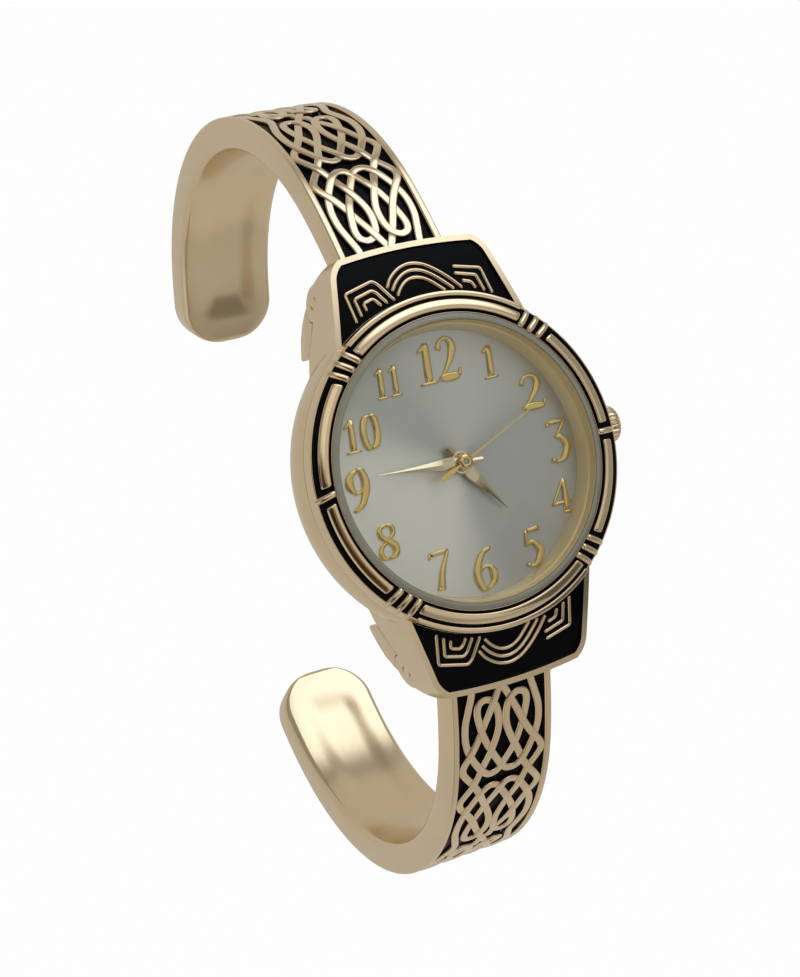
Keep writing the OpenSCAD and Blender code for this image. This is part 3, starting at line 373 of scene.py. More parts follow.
def sunray():
    material, g = blank_material("silver_dial")
    place = g.node("ShaderNodeTexCoord", out=3)
    out_of_centre = g.vector("NORMALIZE", g.vector("MULTIPLY", place, (1, 1, 0)))
    grain = noise(g, out_of_centre, 46, 4, 0.7) * 0.5 + noise(g, out_of_centre, 210, 2, 0.6) * 0.5
    tone = g.blend(grain, (0.44, 0.44, 0.41), (0.52, 0.52, 0.485))
    # Painted highlight: two fan-shaped areas of lighter colour, lower left and near the top, stand in for the
    # light that the brushing throws. They are set by the direction out of the centre, not by any lamp.
    low = ((g.vector("DOT_PRODUCT", out_of_centre, (-0.86, -0.51, 0), out=1) - 0.25) * 1.6).clamp()
    high = ((g.vector("DOT_PRODUCT", out_of_centre, (0.3, 0.954, 0), out=1) - 0.7) * 3.3).clamp()
    painted_fans = (low * low * (3 - 2 * low) * 0.85 + high * 0.3).clamp()
    colour = g.blend(painted_fans, tone, (0.86, 0.85, 0.78))
    finish(g, colour, grain * 0.1 + 0.32, grain, 0.35, 0.00003, {"Metallic": 0.8})
    return material


enamel = black_enamel()
silver_dial = sunray()
print("made", enamel.name, "and", silver_dial.name)

# %% [markdown]
# ### Glass and the dull parts
#
# The crystal must show the dial and still mirror the room at a slant. A glass shader would bend
# the light and darken the dial in a short render. A clear shader and a mirror are mixed here,
# with a factor that stays low where the glass is seen straight on and rises at its slant edge.
# Rubber, plastic and lacquer are dull: two close colours in fine specks.


# %% Glass, rubber, plastic
def window_glass():
    material, g = blank_material("window_glass")
    through = g.node("ShaderNodeBsdfTransparent", {"Color": (0.95, 0.955, 0.95, 1)})
    mirror = {"Base Color": (0.9, 0.92, 0.92, 1), "Roughness": 0.03, "Metallic": 0.9}
    gloss = g.node("ShaderNodeBsdfPrincipled", mirror)
    slant = g.node("ShaderNodeLayerWeight", {"Blend": 0.5}, out=1)
    shine = slant * slant * slant * slant * slant * 0.75 + 0.028
    mixed = g.node("ShaderNodeMixShader", {0: shine, 1: through, 2: gloss})
    g.node("ShaderNodeOutputMaterial", {0: mixed})
    return material


def dull(name, light, dark, rough, scale=500):
    material, g = blank_material(name)
    speck = noise(g, g.node("ShaderNodeTexCoord", out=3), scale, 4, 0.6)
    finish(g, g.blend(speck, light, dark), speck * 0.15 + rough, speck, 0.15, HAIR_DEPTH, {})
    return material


glass = window_glass()
gasket_rubber = dull("gasket_rubber", (0.10, 0.095, 0.075), (0.06, 0.058, 0.05), 0.5)
clear_gasket = dull("clear_gasket", (0.22, 0.215, 0.17), (0.15, 0.145, 0.11), 0.3)
white_plastic = dull("white_plastic", (0.78, 0.76, 0.7), (0.7, 0.68, 0.62), 0.45)
board_green = dull("board_lacquer", (0.03, 0.16, 0.06), (0.02, 0.11, 0.04), 0.3, 800)
print("materials:", len(bpy.data.materials))

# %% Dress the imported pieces
DRESS = {
    case_gold: ["case_body", "crown_tube"],
    polished_gold: [
        "bezel", "crown", "upper_lug_relief", "lower_lug_relief", "upper_hinge_pin", "lower_hinge_pin",
    ],
    cuff_gold: ["upper_arm", "lower_arm"],
    knot_gold: ["upper_knotwork", "lower_knotwork"],
    back_gold: ["case_back"],
    enamel: ["bezel_enamel", "upper_lug_enamel", "lower_lug_enamel", "upper_arm_ground", "lower_arm_ground"],
    glass: ["crystal"],
    clear_gasket: ["crystal_gasket"],
    gasket_rubber: ["case_back_gasket", "crown_gasket"],
    flange_gold: ["dial_flange"],
    silver_dial: ["dial"],
    figure_gold: ["hour_numerals"],
    hand_gold: ["hour_hand", "minute_hand", "seconds_hand"],
    white_plastic: ["movement_holder"],
    plain_brass: ["main_plate", "hour_wheel", "cannon_pinion", "minute_wheel"],
    nickel: ["train_bridge", "battery_clip"],
    steel: ["battery", "crown_stem", "setting_yoke"],
    board_green: ["circuit_board"],
    copper: ["coil"],
    wire_steel: ["upper_hinge_spring", "lower_hinge_spring", "seconds_arbor"],
}
for material, names in DRESS.items():
    for name in names:
        nodes[name].data.materials.clear()
        nodes[name].data.materials.append(material)
bare = set(nodes) - {name for names in DRESS.values() for name in names}
print("nodes without a finish:", sorted(bare))

# %% [markdown]
# ## Tools for making pieces
#
# Every solid here is one of three kinds. A *loft* is a skin over a row of sections. A *turned*
# piece is one outline spun round the dial's axis. A *wire* follows a drawn line. The helpers
# below make points and faces in millimetres. A last helper welds them, turns every face outward,
# marks the sharp edges and shades the rest smooth.

# %% Corners, skins and turned rings
SMALLEST_ROUND = 0.004


def round_corner(before, here, after, radius, steps):
    """A short curve in place of a corner. A corner too small to round is kept."""
    before, here, after = Vector(before), Vector(here), Vector(after)
    size = min(radius, 0.45 * (before - here).length, 0.45 * (after - here).length)
    if size < SMALLEST_ROUND:
        return [tuple(here)]
    a = here + (before - here).normalized() * size
    b = here + (after - here).normalized() * size
    parts = np.linspace(0, 1, steps + 1)
    return [tuple(a * (1 - t) ** 2 + here * 2 * t * (1 - t) + b * t * t) for t in parts]


def fillet(outline, radius, steps=3):
    """Rounds the corners of a closed outline."""
    corners = zip(outline[-1:] + outline[:-1], outline, outline[1:] + outline[:1])
    return [point for three in corners for point in round_corner(*three, radius, steps)]


def loft(rings, loop=False):
    """A skin over sections that have the same number of points."""
    size, count = len(rings[0]), len(rings)
    points = [tuple(p) for ring in rings for p in ring]
    faces = []
    for i in range(count if loop else count - 1):
        a, b = i * size, (i + 1) % count * size
        for j in range(size):
            k = (j + 1) % size
            faces.append((a + j, a + k, b + k, b + j))
    if not loop:
        faces += [tuple(range(size)), tuple(range(len(points) - size, len(points)))]
    return points, faces


def spun(outline, steps=240):
    """Spins a closed outline of (radius, height) about the dial's axis."""
    angles = [math.radians(360 * i / steps) for i in range(steps)]
    return loft([[(r * math.cos(a), r * math.sin(a), z) for r, z in outline] for a in angles], loop=True)


def gathered(parts):
    points, faces = [], []
    for more_points, more_faces in parts:
        shift = len(points)
        points += more_points
        faces += [tuple(shift + i for i in face) for face in more_faces]
    return points, faces


square = [(1, 0), (2, 0), (2, 1), (1, 1)]
print("a square with rounded corners has", len(fillet(square, 0.2)), "points")


# %% Meshes and pieces
def tidied(mesh, angle=32, weld=0.001):
    b = bmesh.new()
    b.from_mesh(mesh)
    bmesh.ops.remove_doubles(b, verts=b.verts, dist=weld * MM)
    bmesh.ops.dissolve_degenerate(b, edges=b.edges, dist=0.0001 * MM)
    bmesh.ops.recalc_face_normals(b, faces=b.faces)
    b.to_mesh(mesh)
    b.free()
    mesh.shade_smooth()
    mesh.set_sharp_from_angle(angle=math.radians(angle))
    return mesh


def shape(name, part, angle=32):
    mesh = bpy.data.meshes.new(name)
    mesh.from_pydata([tuple(c * MM for c in p) for p in part[0]], [], part[1])
    return tidied(mesh, angle)


def bevelled(mesh, width, segments=3, angle=30):
    """A softened copy of a mesh: every edge sharper than the angle is rounded."""
    holder = linked(mesh.name, mesh)
    cut = holder.modifiers.new("edge", "BEVEL")
    cut.width = width * MM
    cut.segments = segments
    cut.limit_method = "ANGLE"
    cut.angle_limit = math.radians(angle)
    view = bpy.context.evaluated_depsgraph_get()
    soft = bpy.data.meshes.new_from_object(holder.evaluated_get(view))
    bpy.data.objects.remove(holder)
    return tidied(soft, 40)


def mirrored(mesh, name):
    """The same mesh on the other side of the dial."""
    b = bmesh.new()
    b.from_mesh(mesh)
    for vert in b.verts:
        vert.co.y = -vert.co.y
    bmesh.ops.recalc_face_normals(b, faces=b.faces)
    other = bpy.data.meshes.new(name)
    b.to_mesh(other)
    b.free()
    other.shade_smooth()
    other.set_sharp_from_angle(angle=math.radians(32))
    return other


def piece(name, mesh, material, body, slot, *replaced):
    """Puts a finished mesh on its body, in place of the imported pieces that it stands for."""
    made = linked(name, mesh)
    mesh.materials.clear()
    mesh.materials.append(material)
    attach(made, body)
    if replaced:
        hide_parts(*replaced)
    print(f"{name}: {len(mesh.polygons)} faces, rides on {body}")


def solid(name, part, angle, *how):
    piece(name, shape(name, part, angle), *how)


# %% [markdown]
# ## The oval of the cuff
#
# Each arm follows an oval made of two flat arcs and a tight end arc that share their tangents.
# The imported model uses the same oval, so every piece of the arm can be placed by three numbers:
# how far along the outer face, how far across it, and how deep below it. The arm ends a little
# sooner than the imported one, where the photograph shows its tip.

# %% The oval
CUFF_A, CUFF_B, CUFF_Z = 33.76, 24.77, -17.97
END_R, FLAT_R = 21.5, 46.118
END_Y = CUFF_A - END_R
FLAT_DZ = FLAT_R - CUFF_B
JOIN = math.atan2(FLAT_DZ, END_Y)
FLAT_HALF = FLAT_R * (math.pi / 2 - JOIN)
END_WHOLE = 2 * END_R * JOIN
PACKED_TIP_Y, TIP_SHORTER = 15, 2.9
ARM_L = 2 * FLAT_HALF + END_WHOLE - FLAT_R * math.asin(PACKED_TIP_Y / FLAT_R) - TIP_SHORTER


def on_cuff(s):
    """Place and outward direction on the outer face, s mm along it from the crest."""
    if s < FLAT_HALF:
        a, y, z, r = math.pi / 2 - s / FLAT_R, 0, CUFF_Z - FLAT_DZ, FLAT_R
    elif s < FLAT_HALF + END_WHOLE:
        a, y, z, r = JOIN - (s - FLAT_HALF) / END_R, END_Y, CUFF_Z, END_R
    else:
        a, y, z, r = -JOIN - (s - FLAT_HALF - END_WHOLE) / FLAT_R, 0, CUFF_Z + FLAT_DZ, FLAT_R
    out = (math.cos(a), math.sin(a))
    return (y + r * out[0], z + r * out[1]), out


def on_band(s, across, depth):
    place, out = on_cuff(s)
    return (across, place[0] - depth * out[0], place[1] - depth * out[1])


print("arm length", round(ARM_L, 2), "mm, tip at", [round(c, 2) for c in on_band(ARM_L, 0, 0)])

# %% [markdown]
# ## The half-cuffs
#
# Each half-cuff is a casting, bent to the oval and plated. Its section is a flat bar with a
# channel in the outer face, so two rounded rails stand along the edges. The inner face is left
# satin and has a wide, shallow hollow that saves metal and keeps the cuff light on the wrist.
# The arm could be bent from a straight bar with a curve modifier. A loft is better here, because
# the tip narrows to round corners, the hollow fades out and the channel stops at a solid plate,
# and each of these is only a change of the section along the way.

# %% Section of an arm
BAND_HALF, BAND_T = 4.545, 2.78
CHANNEL_HALF, CHANNEL_D = 3.925, 0.6
RAIL_LIP, OUTER_EDGE, INNER_EDGE, POCKET_RIM = 0.13, 0.16, 0.55, 1.3


def corner(cx, cy, r, start, end, steps):
    angles = [math.radians(a) for a in np.linspace(start, end, steps + 1)]
    return [(cx + r * math.cos(a), cy + r * math.sin(a)) for a in angles]


def eased(t):
    """0 before 0, 1 after 1 and a soft S between."""
    t = min(max(t, 0), 1)
    return t * t * (3 - 2 * t)


def arm_section(half, channel_depth, hollow, shrink_out, shrink_in):
    """One closed section as (across, depth), from the middle of the outer face round to the same place."""
    rail_in = max(half - (BAND_HALF - CHANNEL_HALF), 0.4)
    lip = min(RAIL_LIP, channel_depth / 2 + 0.02)
    side = [(0, channel_depth), (rail_in, channel_depth)]
    side += corner(rail_in + lip, lip, lip, 180, 270, 3)
    side += corner(half - OUTER_EDGE, OUTER_EDGE, OUTER_EDGE, 270, 360, 4)
    side += corner(half - INNER_EDGE, BAND_T - INNER_EDGE, INNER_EDGE, 0, 90, 7)
    pocket = max(half - POCKET_RIM, 0.3)
    side += [(pocket * (1 - 0.65 * t), BAND_T - hollow * eased(t)) for t in np.linspace(0, 1, 9)]
    side.append((0, BAND_T - hollow))
    room = (BAND_T - shrink_out - shrink_in) / BAND_T
    side = [(across, shrink_out + depth * room) for across, depth in side]
    return side + [(-across, depth) for across, depth in side[-2:0:-1]]


print("section points:", len(arm_section(BAND_HALF, CHANNEL_D, 0, 0, 0)))

# %% Skin along the arm
ARM_START, TIP_R, HOLLOW_D = 15.2, 3.9, 0.26
KNOT_START, KNOT_L, KNOTS = 17.95, 8.9, 6
COVER_FROM = 16.72
COVER_TO = KNOT_START + KNOTS * KNOT_L


def arm_stations():
    """Distances along the arm: even in the middle, closer where a form starts or stops."""
    plain = list(np.arange(ARM_START, ARM_L - TIP_R, 0.4))
    steps = [COVER_TO - 0.01, COVER_TO + 0.06]
    tip = [ARM_L - TIP_R + TIP_R * math.sin(a) for a in np.linspace(0, math.pi / 2, 28)]
    return sorted(set(round(s, 4) for s in plain + steps + tip))


def rounding(radius, left):
    """How far an edge of this radius has drawn in where this much of the arm is left."""
    return radius - math.sqrt(max(radius**2 - max(radius - left, 0) ** 2, 0))


def arm_band():
    rings = []
    for s in arm_stations():
        left = max(ARM_L - s, 0)
        half = BAND_HALF - rounding(TIP_R, left)
        hollow = HOLLOW_D * eased((s - 37.5) / 5) * (1 - eased((s - ARM_L + 5.3) / 3))
        channel = CHANNEL_D if s < COVER_TO else 0.0
        section = arm_section(half, channel, hollow, rounding(0.2, left), rounding(0.5, left))
        rings.append([on_band(s, across, depth) for across, depth in section])
    return loft(rings)


band_parts = arm_band()
print("arm skin:", len(band_parts[1]), "faces, plait from", COVER_FROM, "to", round(COVER_TO, 2))

# %% [markdown]
# ### Root, neck and hinge barrels
#
# Under the hood the arm ends in a root block that closes the hood from below and stops the arm
# against the case. A neck joins it to two barrels, which turn on the hinge pin and leave the
# middle free for the spring. They are plain slabs and rings, and only the root's visible edges
# are rounded, by a bevel.

# %% Both half-cuffs
PIVOT_Y, PIVOT_Z, EAR_R = 14.6, 2.2, 1.4
ROOT_R, NECK_HALF, ROOT_EDGE = 1.52, 5.64, 0.16


def slab(outline, widths):
    """An outline in (y, z) made into a slab across the watch. Each corner has its own half-width."""
    return loft([[(side * w, y, z) for (y, z), w in zip(outline, widths)] for side in (-1, 1)])


def barrel(side):
    """A ring section at each (distance across, share of the full radius)."""
    angles = np.linspace(0, 2 * math.pi, 48, endpoint=False)
    circle = [(EAR_R * math.cos(a), EAR_R * math.sin(a)) for a in angles]
    steps = ((3.3, 0.97), (3.35, 1.0), (5.6, 1.0), (5.65, 0.97))
    return loft([[(side * x, PIVOT_Y + c * r, PIVOT_Z + d * r) for c, d in circle] for x, r in steps])


root = [(10.6, -0.3), (10.7, -0.52), (10.9, -0.6), (12.2, -0.6), (13.3, -0.3), (14.2, 0.35), (14.45, 0.62)]
root += corner(PIVOT_Y, PIVOT_Z, ROOT_R, 265, 188, 8)
root += [(10.7, 1.12), (10.6, 1.05)]
root_widths = [7.98 - 0.25 * (y - 11.0) for y, z in root]
root_mesh = bevelled(shape("root", slab(root, root_widths)), ROOT_EDGE)
neck = [(13.0, 0.0), (14.6, 0.8), (14.6, 2.2), (13.25, 2.1), (13.0, 1.6)]
arm_parts = [band_parts, slab(neck, [NECK_HALF] * len(neck)), barrel(-1), barrel(1)]
upper_arm_mesh = shape("upper_half_cuff", gathered(arm_parts), 40)
both = bmesh.new()
for part in (upper_arm_mesh, root_mesh):
    both.from_mesh(part)
both.to_mesh(upper_arm_mesh)
both.free()
upper_arm_mesh.shade_smooth()
upper_arm_mesh.set_sharp_from_angle(angle=math.radians(40))
lower_arm_mesh = mirrored(upper_arm_mesh, "lower_half_cuff")
piece("upper_half_cuff", upper_arm_mesh, cuff_gold, "upper_arm", "gold", "upper_arm")
piece("lower_half_cuff", lower_arm_mesh, cuff_gold, "lower_arm", "gold", "lower_arm")

# %% [markdown]
# ## The plait
#
# The outer face carries a cast plait: straps about half a millimetre wide that pass over and
# under each other, on a black ground. It could be carved as one pierced sheet. Here it is woven
# instead, because only then does each strap really rise over one neighbour and dip under the
# next. The strap lines of a quarter of the pattern are drawn once. Mirror images of them fill
# the band, and pieces that meet end to end are joined into long lines.

# %% Strap lines
SPREAD, OVERLAP = 1.07, 0.6
OUTER_QUARTER = [
    (-0.6, 0.0), (0.9, 0.75), (2.2, 1.3), (3.4, 1.78), (4.4, 2.3), (5.2, 2.8), (5.9, 3.24), (6.6, 3.38),
    (7.3, 3.05), (8.3, 2.4),
]
INNER_QUARTER = [
    (-0.6, 2.48), (0.9, 2.8), (2.2, 3.1), (3.5, 3.14), (4.5, 2.98), (5.3, 2.7), (6.2, 2.25), (7.0, 1.75),
    (7.5, 1.25), (7.62, 0.75), (7.45, 0.3), (6.95, -0.08), (6.2, -0.5), (5.2, -1.0), (4.4, -1.37),
    (3.4, -1.75), (2.2, -2.02), (1.4, -2.1), (0.75, -1.92), (0.48, -1.4), (0.7, -0.87), (1.3, -0.47),
    (2.2, -0.3), (3.2, -0.33), (4.2, -0.6), (5.2, -1.0), (6.2, -1.42), (7.1, -1.76), (8.3, -2.4),
]


def cell_lines(k):
    """The four strap pieces of one knot, in mm along and across the band. Every other knot is turned."""
    lines = []
    for quarter in (OUTER_QUARTER, INNER_QUARTER):
        for side in (1, -1):
            along = [u + OVERLAP if k % 2 == 0 else KNOT_L - u - OVERLAP for u, v in quarter]
            across = [side * v * SPREAD for u, v in quarter]
            lines.append([(KNOT_START + k * KNOT_L + u, v) for u, v in zip(along, across)])
    return lines


def joined_lines(lines):
    """Chains pieces whose ends meet and whose directions agree, the straightest join first."""
    while True:
        best = None
        for i, j in itertools.combinations(range(len(lines)), 2):
            for p, q in itertools.product((lines[i], lines[i][::-1]), (lines[j], lines[j][::-1])):
                if math.dist(p[-1], q[0]) > 0.02:
                    continue
                u = np.subtract(p[-1], p[-2])
                w = np.subtract(q[1], q[0])
                straight = float(u @ w) / (np.linalg.norm(u) * np.linalg.norm(w))
                if straight > 0.6 and (best is None or straight > best[0]):
                    best = (straight, i, j, p + q[1:])
        if best is None:
            return lines
        _, i, j, chain = best
        lines = [line for n, line in enumerate(lines) if n not in (i, j)] + [chain]


def smooth_line(points, step=0.16):
    """A Catmull-Rom curve through the points, cut into even steps."""
    p = np.array([np.array(points[0]) * 2 - points[1], *points, np.array(points[-1]) * 2 - points[-2]], float)
    out = []
    for i in range(1, len(p) - 2):
        count = max(2, int(math.dist(p[i], p[i + 1]) / step) + 1)
        a, b, c, d = p[i - 1 : i + 3]
        for t in np.arange(count) / count:
            turning = 2 * b + (c - a) * t + (2 * a - 5 * b + 4 * c - d) * t**2
            out.append(0.5 * (turning + (3 * b - a - 3 * c + d) * t**3))
    out.append(p[-2])
    return np.array(out)


cells = [line for k in range(-1, KNOTS + 1) for line in cell_lines(k)]
straps = [smooth_line(chain) for chain in joined_lines(cells)]
print("strap lines:", len(straps), "points:", sum(map(len, straps)))

# %% [markdown]
# ### Over and under
#
# Every place where two straps cross is found first. Then the crossings are walked: along one
# strap they must alternate, and at one crossing the two straps must differ. Those two rules,
# passed on from crossing to crossing, settle the whole weave. Between two crossings the strap
# glides from its high place to its low one along a cosine.


# %% Crossings
def crossings(a, b, same):
    """Index places (along a, along b) at which two lines cross."""
    found = []
    p, r = a[:-1], a[1:] - a[:-1]
    q, s = b[:-1], b[1:] - b[:-1]
    for i in range(len(p)):
        low = i + 3 if same else 0
        if low >= len(q):
            continue
        qq, ss = q[low:], s[low:]
        cross = r[i][0] * ss[:, 1] - r[i][1] * ss[:, 0]
        cross[np.abs(cross) < 1e-9] = 1e-9
        d = qq - p[i]
        t = (d[:, 0] * ss[:, 1] - d[:, 1] * ss[:, 0]) / cross
        u = (d[:, 0] * r[i][1] - d[:, 1] * r[i][0]) / cross
        for j in np.nonzero((t >= 0) & (t < 1) & (u >= 0) & (u < 1))[0]:
            found.append((i + t[j], low + j + u[j]))
    return found


passes = [[] for _ in straps]
pairs = []
partner = {}
for i, a in enumerate(straps):
    for j in range(i, len(straps)):
        for along_a, along_b in crossings(a, straps[j], i == j):
            one, two = (i, along_a), (j, along_b)
            pairs.append((one, two))
            partner[one], partner[two] = two, one
            passes[i].append(along_a)
            passes[j].append(along_b)
for row in passes:
    row.sort()
print("crossings:", len(pairs))

# %% The weave
level = {}
for first in [(i, along) for i, row in enumerate(passes) for along in row]:
    if first in level:
        continue
    level[first] = 1
    queue = [first]
    while queue:
        here = queue.pop()
        row = passes[here[0]]
        k = row.index(here[1])
        near = [(here[0], row[m]) for m in (k - 1, k + 1) if 0 <= m < len(row)]
        for other in near + [partner[here]]:
            if other not in level:
                level[other] = -level[here]
                queue.append(other)


def lifted(i):
    """Height of a strap at each of its points, from -1 under a neighbour to 1 over it."""
    row = passes[i]
    if not row:
        return [0] * len(straps[i])
    heights = []
    for n in range(len(straps[i])):
        after = next((k for k, at in enumerate(row) if at >= n), len(row))
        a, b = row[max(after - 1, 0)], row[min(after, len(row) - 1)]
        ease = 0.5 - 0.5 * math.cos(math.pi * (n - a) / (b - a)) if b > a else 0
        heights.append(level[(i, a)] * (1 - ease) + level[(i, b)] * ease)
    return heights


STRAP_MID, STRAP_LIFT = 0.2, 0.065
woven = [[]]
for i, line in enumerate(straps):
    for (s, v), h in zip(line, lifted(i)):
        if COVER_FROM <= s <= COVER_TO + 0.1:
            woven[-1].append((v, s, h * STRAP_LIFT - STRAP_MID, 1.0))
        elif woven[-1]:
            woven.append([])
    woven.append([])
woven = [run for run in woven if len(run) > 3]
print("straps on the band:", len(woven), "not woven:", sum(level[a] == level[b] for a, b in pairs))

# %% [markdown]
# ### Strap section and the bend round the wrist
#
# The straps are drawn flat, with Y along the band and X across it. A node tree gives each line
# its section, a flat strap with soft shoulders, and then bends everything round the oval. To
# bend, it looks up the place and direction on the oval's line at the length Y, and steps across
# and outward from there. The bend is made this way, and not with a bent sheet, so that the strap
# keeps its width and height all round the tight end of the oval.


# %% Drawn lines and trees
def drawn(name, lines):
    """A curve object of straight-stepped lines. Each point is (x, y, z, radius)."""
    data = bpy.data.curves.new(name, "CURVE")
    data.dimensions = "3D"
    for line in lines:
        spline = data.splines.new("POLY")
        spline.points.add(len(line) - 1)
        for point, (x, y, z, r) in zip(spline.points, line):
            point.co = (x * MM, y * MM, z * MM, 1)
            point.radius = r
    return linked(name, data)


def new_tree(name, **inputs):
    """A tree with named inputs, its graph, and a call that gives each input by its number."""
    tree = bpy.data.node_groups.new(name, "GeometryNodeTree")
    for label, kind in {"Geometry": "Geometry", **inputs}.items():
        tree.interface.new_socket(label, in_out="INPUT", socket_type="NodeSocket" + kind)
    tree.interface.new_socket("Geometry", in_out="OUTPUT", socket_type="NodeSocketGeometry")
    graph = Graph(tree)
    return tree, graph, graph.node("NodeGroupInput").output


def end_tree(g, geometry, metal):
    whole = g.node("GeometryNodeRealizeInstances", {0: geometry})
    dressed = g.node("GeometryNodeSetMaterial", {"Geometry": whole, "Material": metal})
    g.node("NodeGroupOutput", {0: dressed})


def run_tree(holder, tree, name, **values):
    """Gives the tree its named values, then keeps the result as a plain mesh."""
    cut = holder.modifiers.new("tree", "NODES")
    cut.node_group = tree
    labels = {item.name: item.identifier for item in tree.interface.items_tree if item.in_out == "INPUT"}
    for label, value in values.items():
        cut[labels[label]] = value
    holder.update_tag()
    view = bpy.context.evaluated_depsgraph_get()
    mesh = bpy.data.meshes.new_from_object(holder.evaluated_get(view))
    mesh.name = name
    data = holder.data
    bpy.data.objects.remove(holder)
    bpy.data.curves.remove(data)
    return tidied(mesh, 40, 0.0005)


# %% The strap tree
strap_tree, g, given = new_tree(
    "bent_strap", Oval="Object", Width="Float", Height="Float", Shoulder="Float", Metal="Material"
)
box = g.node("GeometryNodeCurvePrimitiveQuadrilateral", {"Width": given(2), "Height": given(3)})
section = g.node("GeometryNodeFilletCurve", {"Curve": box, "Radius": given(4), "Count": 3}, mode="POLY")
upright = g.node("GeometryNodeSetCurveNormal", {"Curve": given(0)}, mode="Z_UP")
skin = g.node("GeometryNodeCurveToMesh", {"Curve": upright, "Profile Curve": section, "Fill Caps": True})
part = g.node("ShaderNodeSeparateXYZ", {0: g.node("GeometryNodeInputPosition")})
oval = g.node("GeometryNodeObjectInfo", {"Object": given(1)}, out=4, transform_space="RELATIVE")
length = {"Curves": oval, "Length": part.output(1)}
sample = g.node("GeometryNodeSampleCurve", length, out=1, mode="LENGTH", use_all_curves=True)
outward = g.vector("NORMALIZE", g.vector("CROSS_PRODUCT", (1, 0, 0), sample.output(2)))
lift = g.node("ShaderNodeVectorMath", {0: outward, "Scale": part.output(2)}, operation="SCALE")
across = g.node("ShaderNodeCombineXYZ", {0: part.output(0)})
place = g.vector("ADD", g.vector("ADD", sample, lift), across)
end_tree(g, g.node("GeometryNodeSetPosition", {"Geometry": skin, "Position": place}), given(5))
print("strap tree nodes:", len(strap_tree.nodes))

# %% Bend the straps round the cuff
oval_line = drawn("oval_line", [[(0, *on_cuff(s)[0], 1.0) for s in np.arange(0, ARM_L + 1, 0.1)]])
strap = {"Width": 0.66 * MM, "Height": 0.36 * MM, "Shoulder": 0.11 * MM}
flat_straps = drawn("straps", woven)
upper_plait = run_tree(flat_straps, strap_tree, "upper_plait", Oval=oval_line, Metal=knot_gold, **strap)
lower_plait = mirrored(upper_plait, "lower_plait")
bpy.data.objects.remove(oval_line)
piece("upper_plait", upper_plait, knot_gold, "upper_arm", "pale_gold", "upper_knotwork")
piece("lower_plait", lower_plait, knot_gold, "lower_arm", "pale_gold", "lower_knotwork")

# %% [markdown]
# ## Bezel
#
# The bezel is one casting: a crowned rail that falls outward, a thin lip beside the lug panels
# and black enamel in the troughs between them. Clusters of three ribs strap the rail down at
# four places, and one rib crosses it at nine o'clock and at three. The ring itself is turned.
# The rails are swept part of the way round and end in rounded corners that run parallel to the
# ribs, which a plain turned ring can't give. The ribs are wires that bend down over the edge.

# %% Rail section and sweep
CREST_STEPS = (0, 0.012, 0.035, 0.07, 0.12, 0.2, 0.3, 0.4, 0.5, 0.6, 0.7, 0.8, 0.88, 0.93, 0.965, 0.988, 1)
SHOULDER = 0.12


def crowned(half, top, fall, base):
    """The section of a rail: upright walls, soft edges and a flat crown that falls outward."""
    soft, swell = half * 0.22, half * 0.17
    crest = []
    for t in CREST_STEPS:
        edge = soft * (1 - math.sqrt(1 - (1 - min(t, 1 - t, SHOULDER) / SHOULDER) ** 2))
        crest.append((half * (1 - 2 * t), top - fall * (1 - t) - swell * (2 * t - 1) ** 2 - edge))
    return [(half, base)] + crest + [(-half, base)]


def rail(radius, half, top, start, end, fall=0.2, base=7.1, leans=(0, 0), corner=0.17):
    """A crowned rail from one angle to another. Each end leans as the rib beside it does."""
    length = math.radians(end - start) * radius
    near = [corner * (1 - math.cos(a)) for a in np.linspace(0, math.pi / 2, 7)]
    far = [length - x for x in near[::-1]]
    count = max(4, int(length / 0.3))
    rings = []
    for x in near + list(np.linspace(near[-1], far[0], count + 2))[1:-1] + far:
        inward = rounding(corner, min(x, length - x))
        lean = math.tan(math.radians(leans[0] + (leans[1] - leans[0]) * x / length))
        ring = []
        for u, h in crowned(half - inward * 0.9, top - inward * 0.45, fall, base):
            a = math.radians(start) + (x + u * lean) / radius
            ring.append(((radius + u) * math.cos(a), (radius + u) * math.sin(a), h))
        rings.append(ring)
    return loft(rings)


print("rail section points:", len(crowned(0.4, 8, 0.2, 7)))

# %% Ring with its rails
RIB_ANGLE, RIB_STEP, RIB_LEAN = 48.0, 4.2, 13.0
NINE_LEAN, THREE_AT, SINGLE_GAP = 15.0, -1.8, 3.2
SIDE_END = RIB_ANGLE - RIB_STEP - 3.0
LUG_START = RIB_ANGLE + RIB_STEP + 2.2
RAIL = {"radius": 11.99, "half": 0.405, "top": 8.0}
LIP = {"radius": 12.84, "half": 0.2, "top": 7.7, "fall": 0.06, "corner": 0.1, "base": 6.45}
ring_outline = [
    (11.07, 6.4), (12.98, 6.4), (13.04, 6.5), (12.92, 7.38), (12.87, 7.53), (12.8, 7.54), (12.77, 7.46),
    (12.76, 7.2), (11.39, 7.2), (11.385, 7.72), (11.35, 7.8), (11.31, 7.8), (11.3, 7.5), (11.07, 7.5),
]
bezel_parts = [spun(fillet(ring_outline, 0.03, 2), 288)]
for turn, middle, lean in ((0, THREE_AT, 0), (180, 180, NINE_LEAN)):
    after, before = middle + SINGLE_GAP, middle - SINGLE_GAP
    bezel_parts.append(rail(**RAIL, start=after, end=turn + SIDE_END, leans=(lean, -RIB_LEAN)))
    bezel_parts.append(rail(**RAIL, start=turn - SIDE_END, end=before, leans=(RIB_LEAN, lean)))
    for kind in (RAIL, LIP):
        reach = {"start": turn + LUG_START, "end": turn + 180 - LUG_START}
        bezel_parts.append(rail(**kind, **reach, leans=(-RIB_LEAN, RIB_LEAN)))
solid("bezel_ring", gathered(bezel_parts), 50, polished_gold, "case", "pale_gold", "bezel")

# %% [markdown]
# ### Enamel in the troughs
#
# The black fill lies between the lip and the rim and meets the rails' upright walls, so a plain
# turned ring that runs under the rails is enough. Its top sinks a little in the middle, as a
# fill does when it cures.

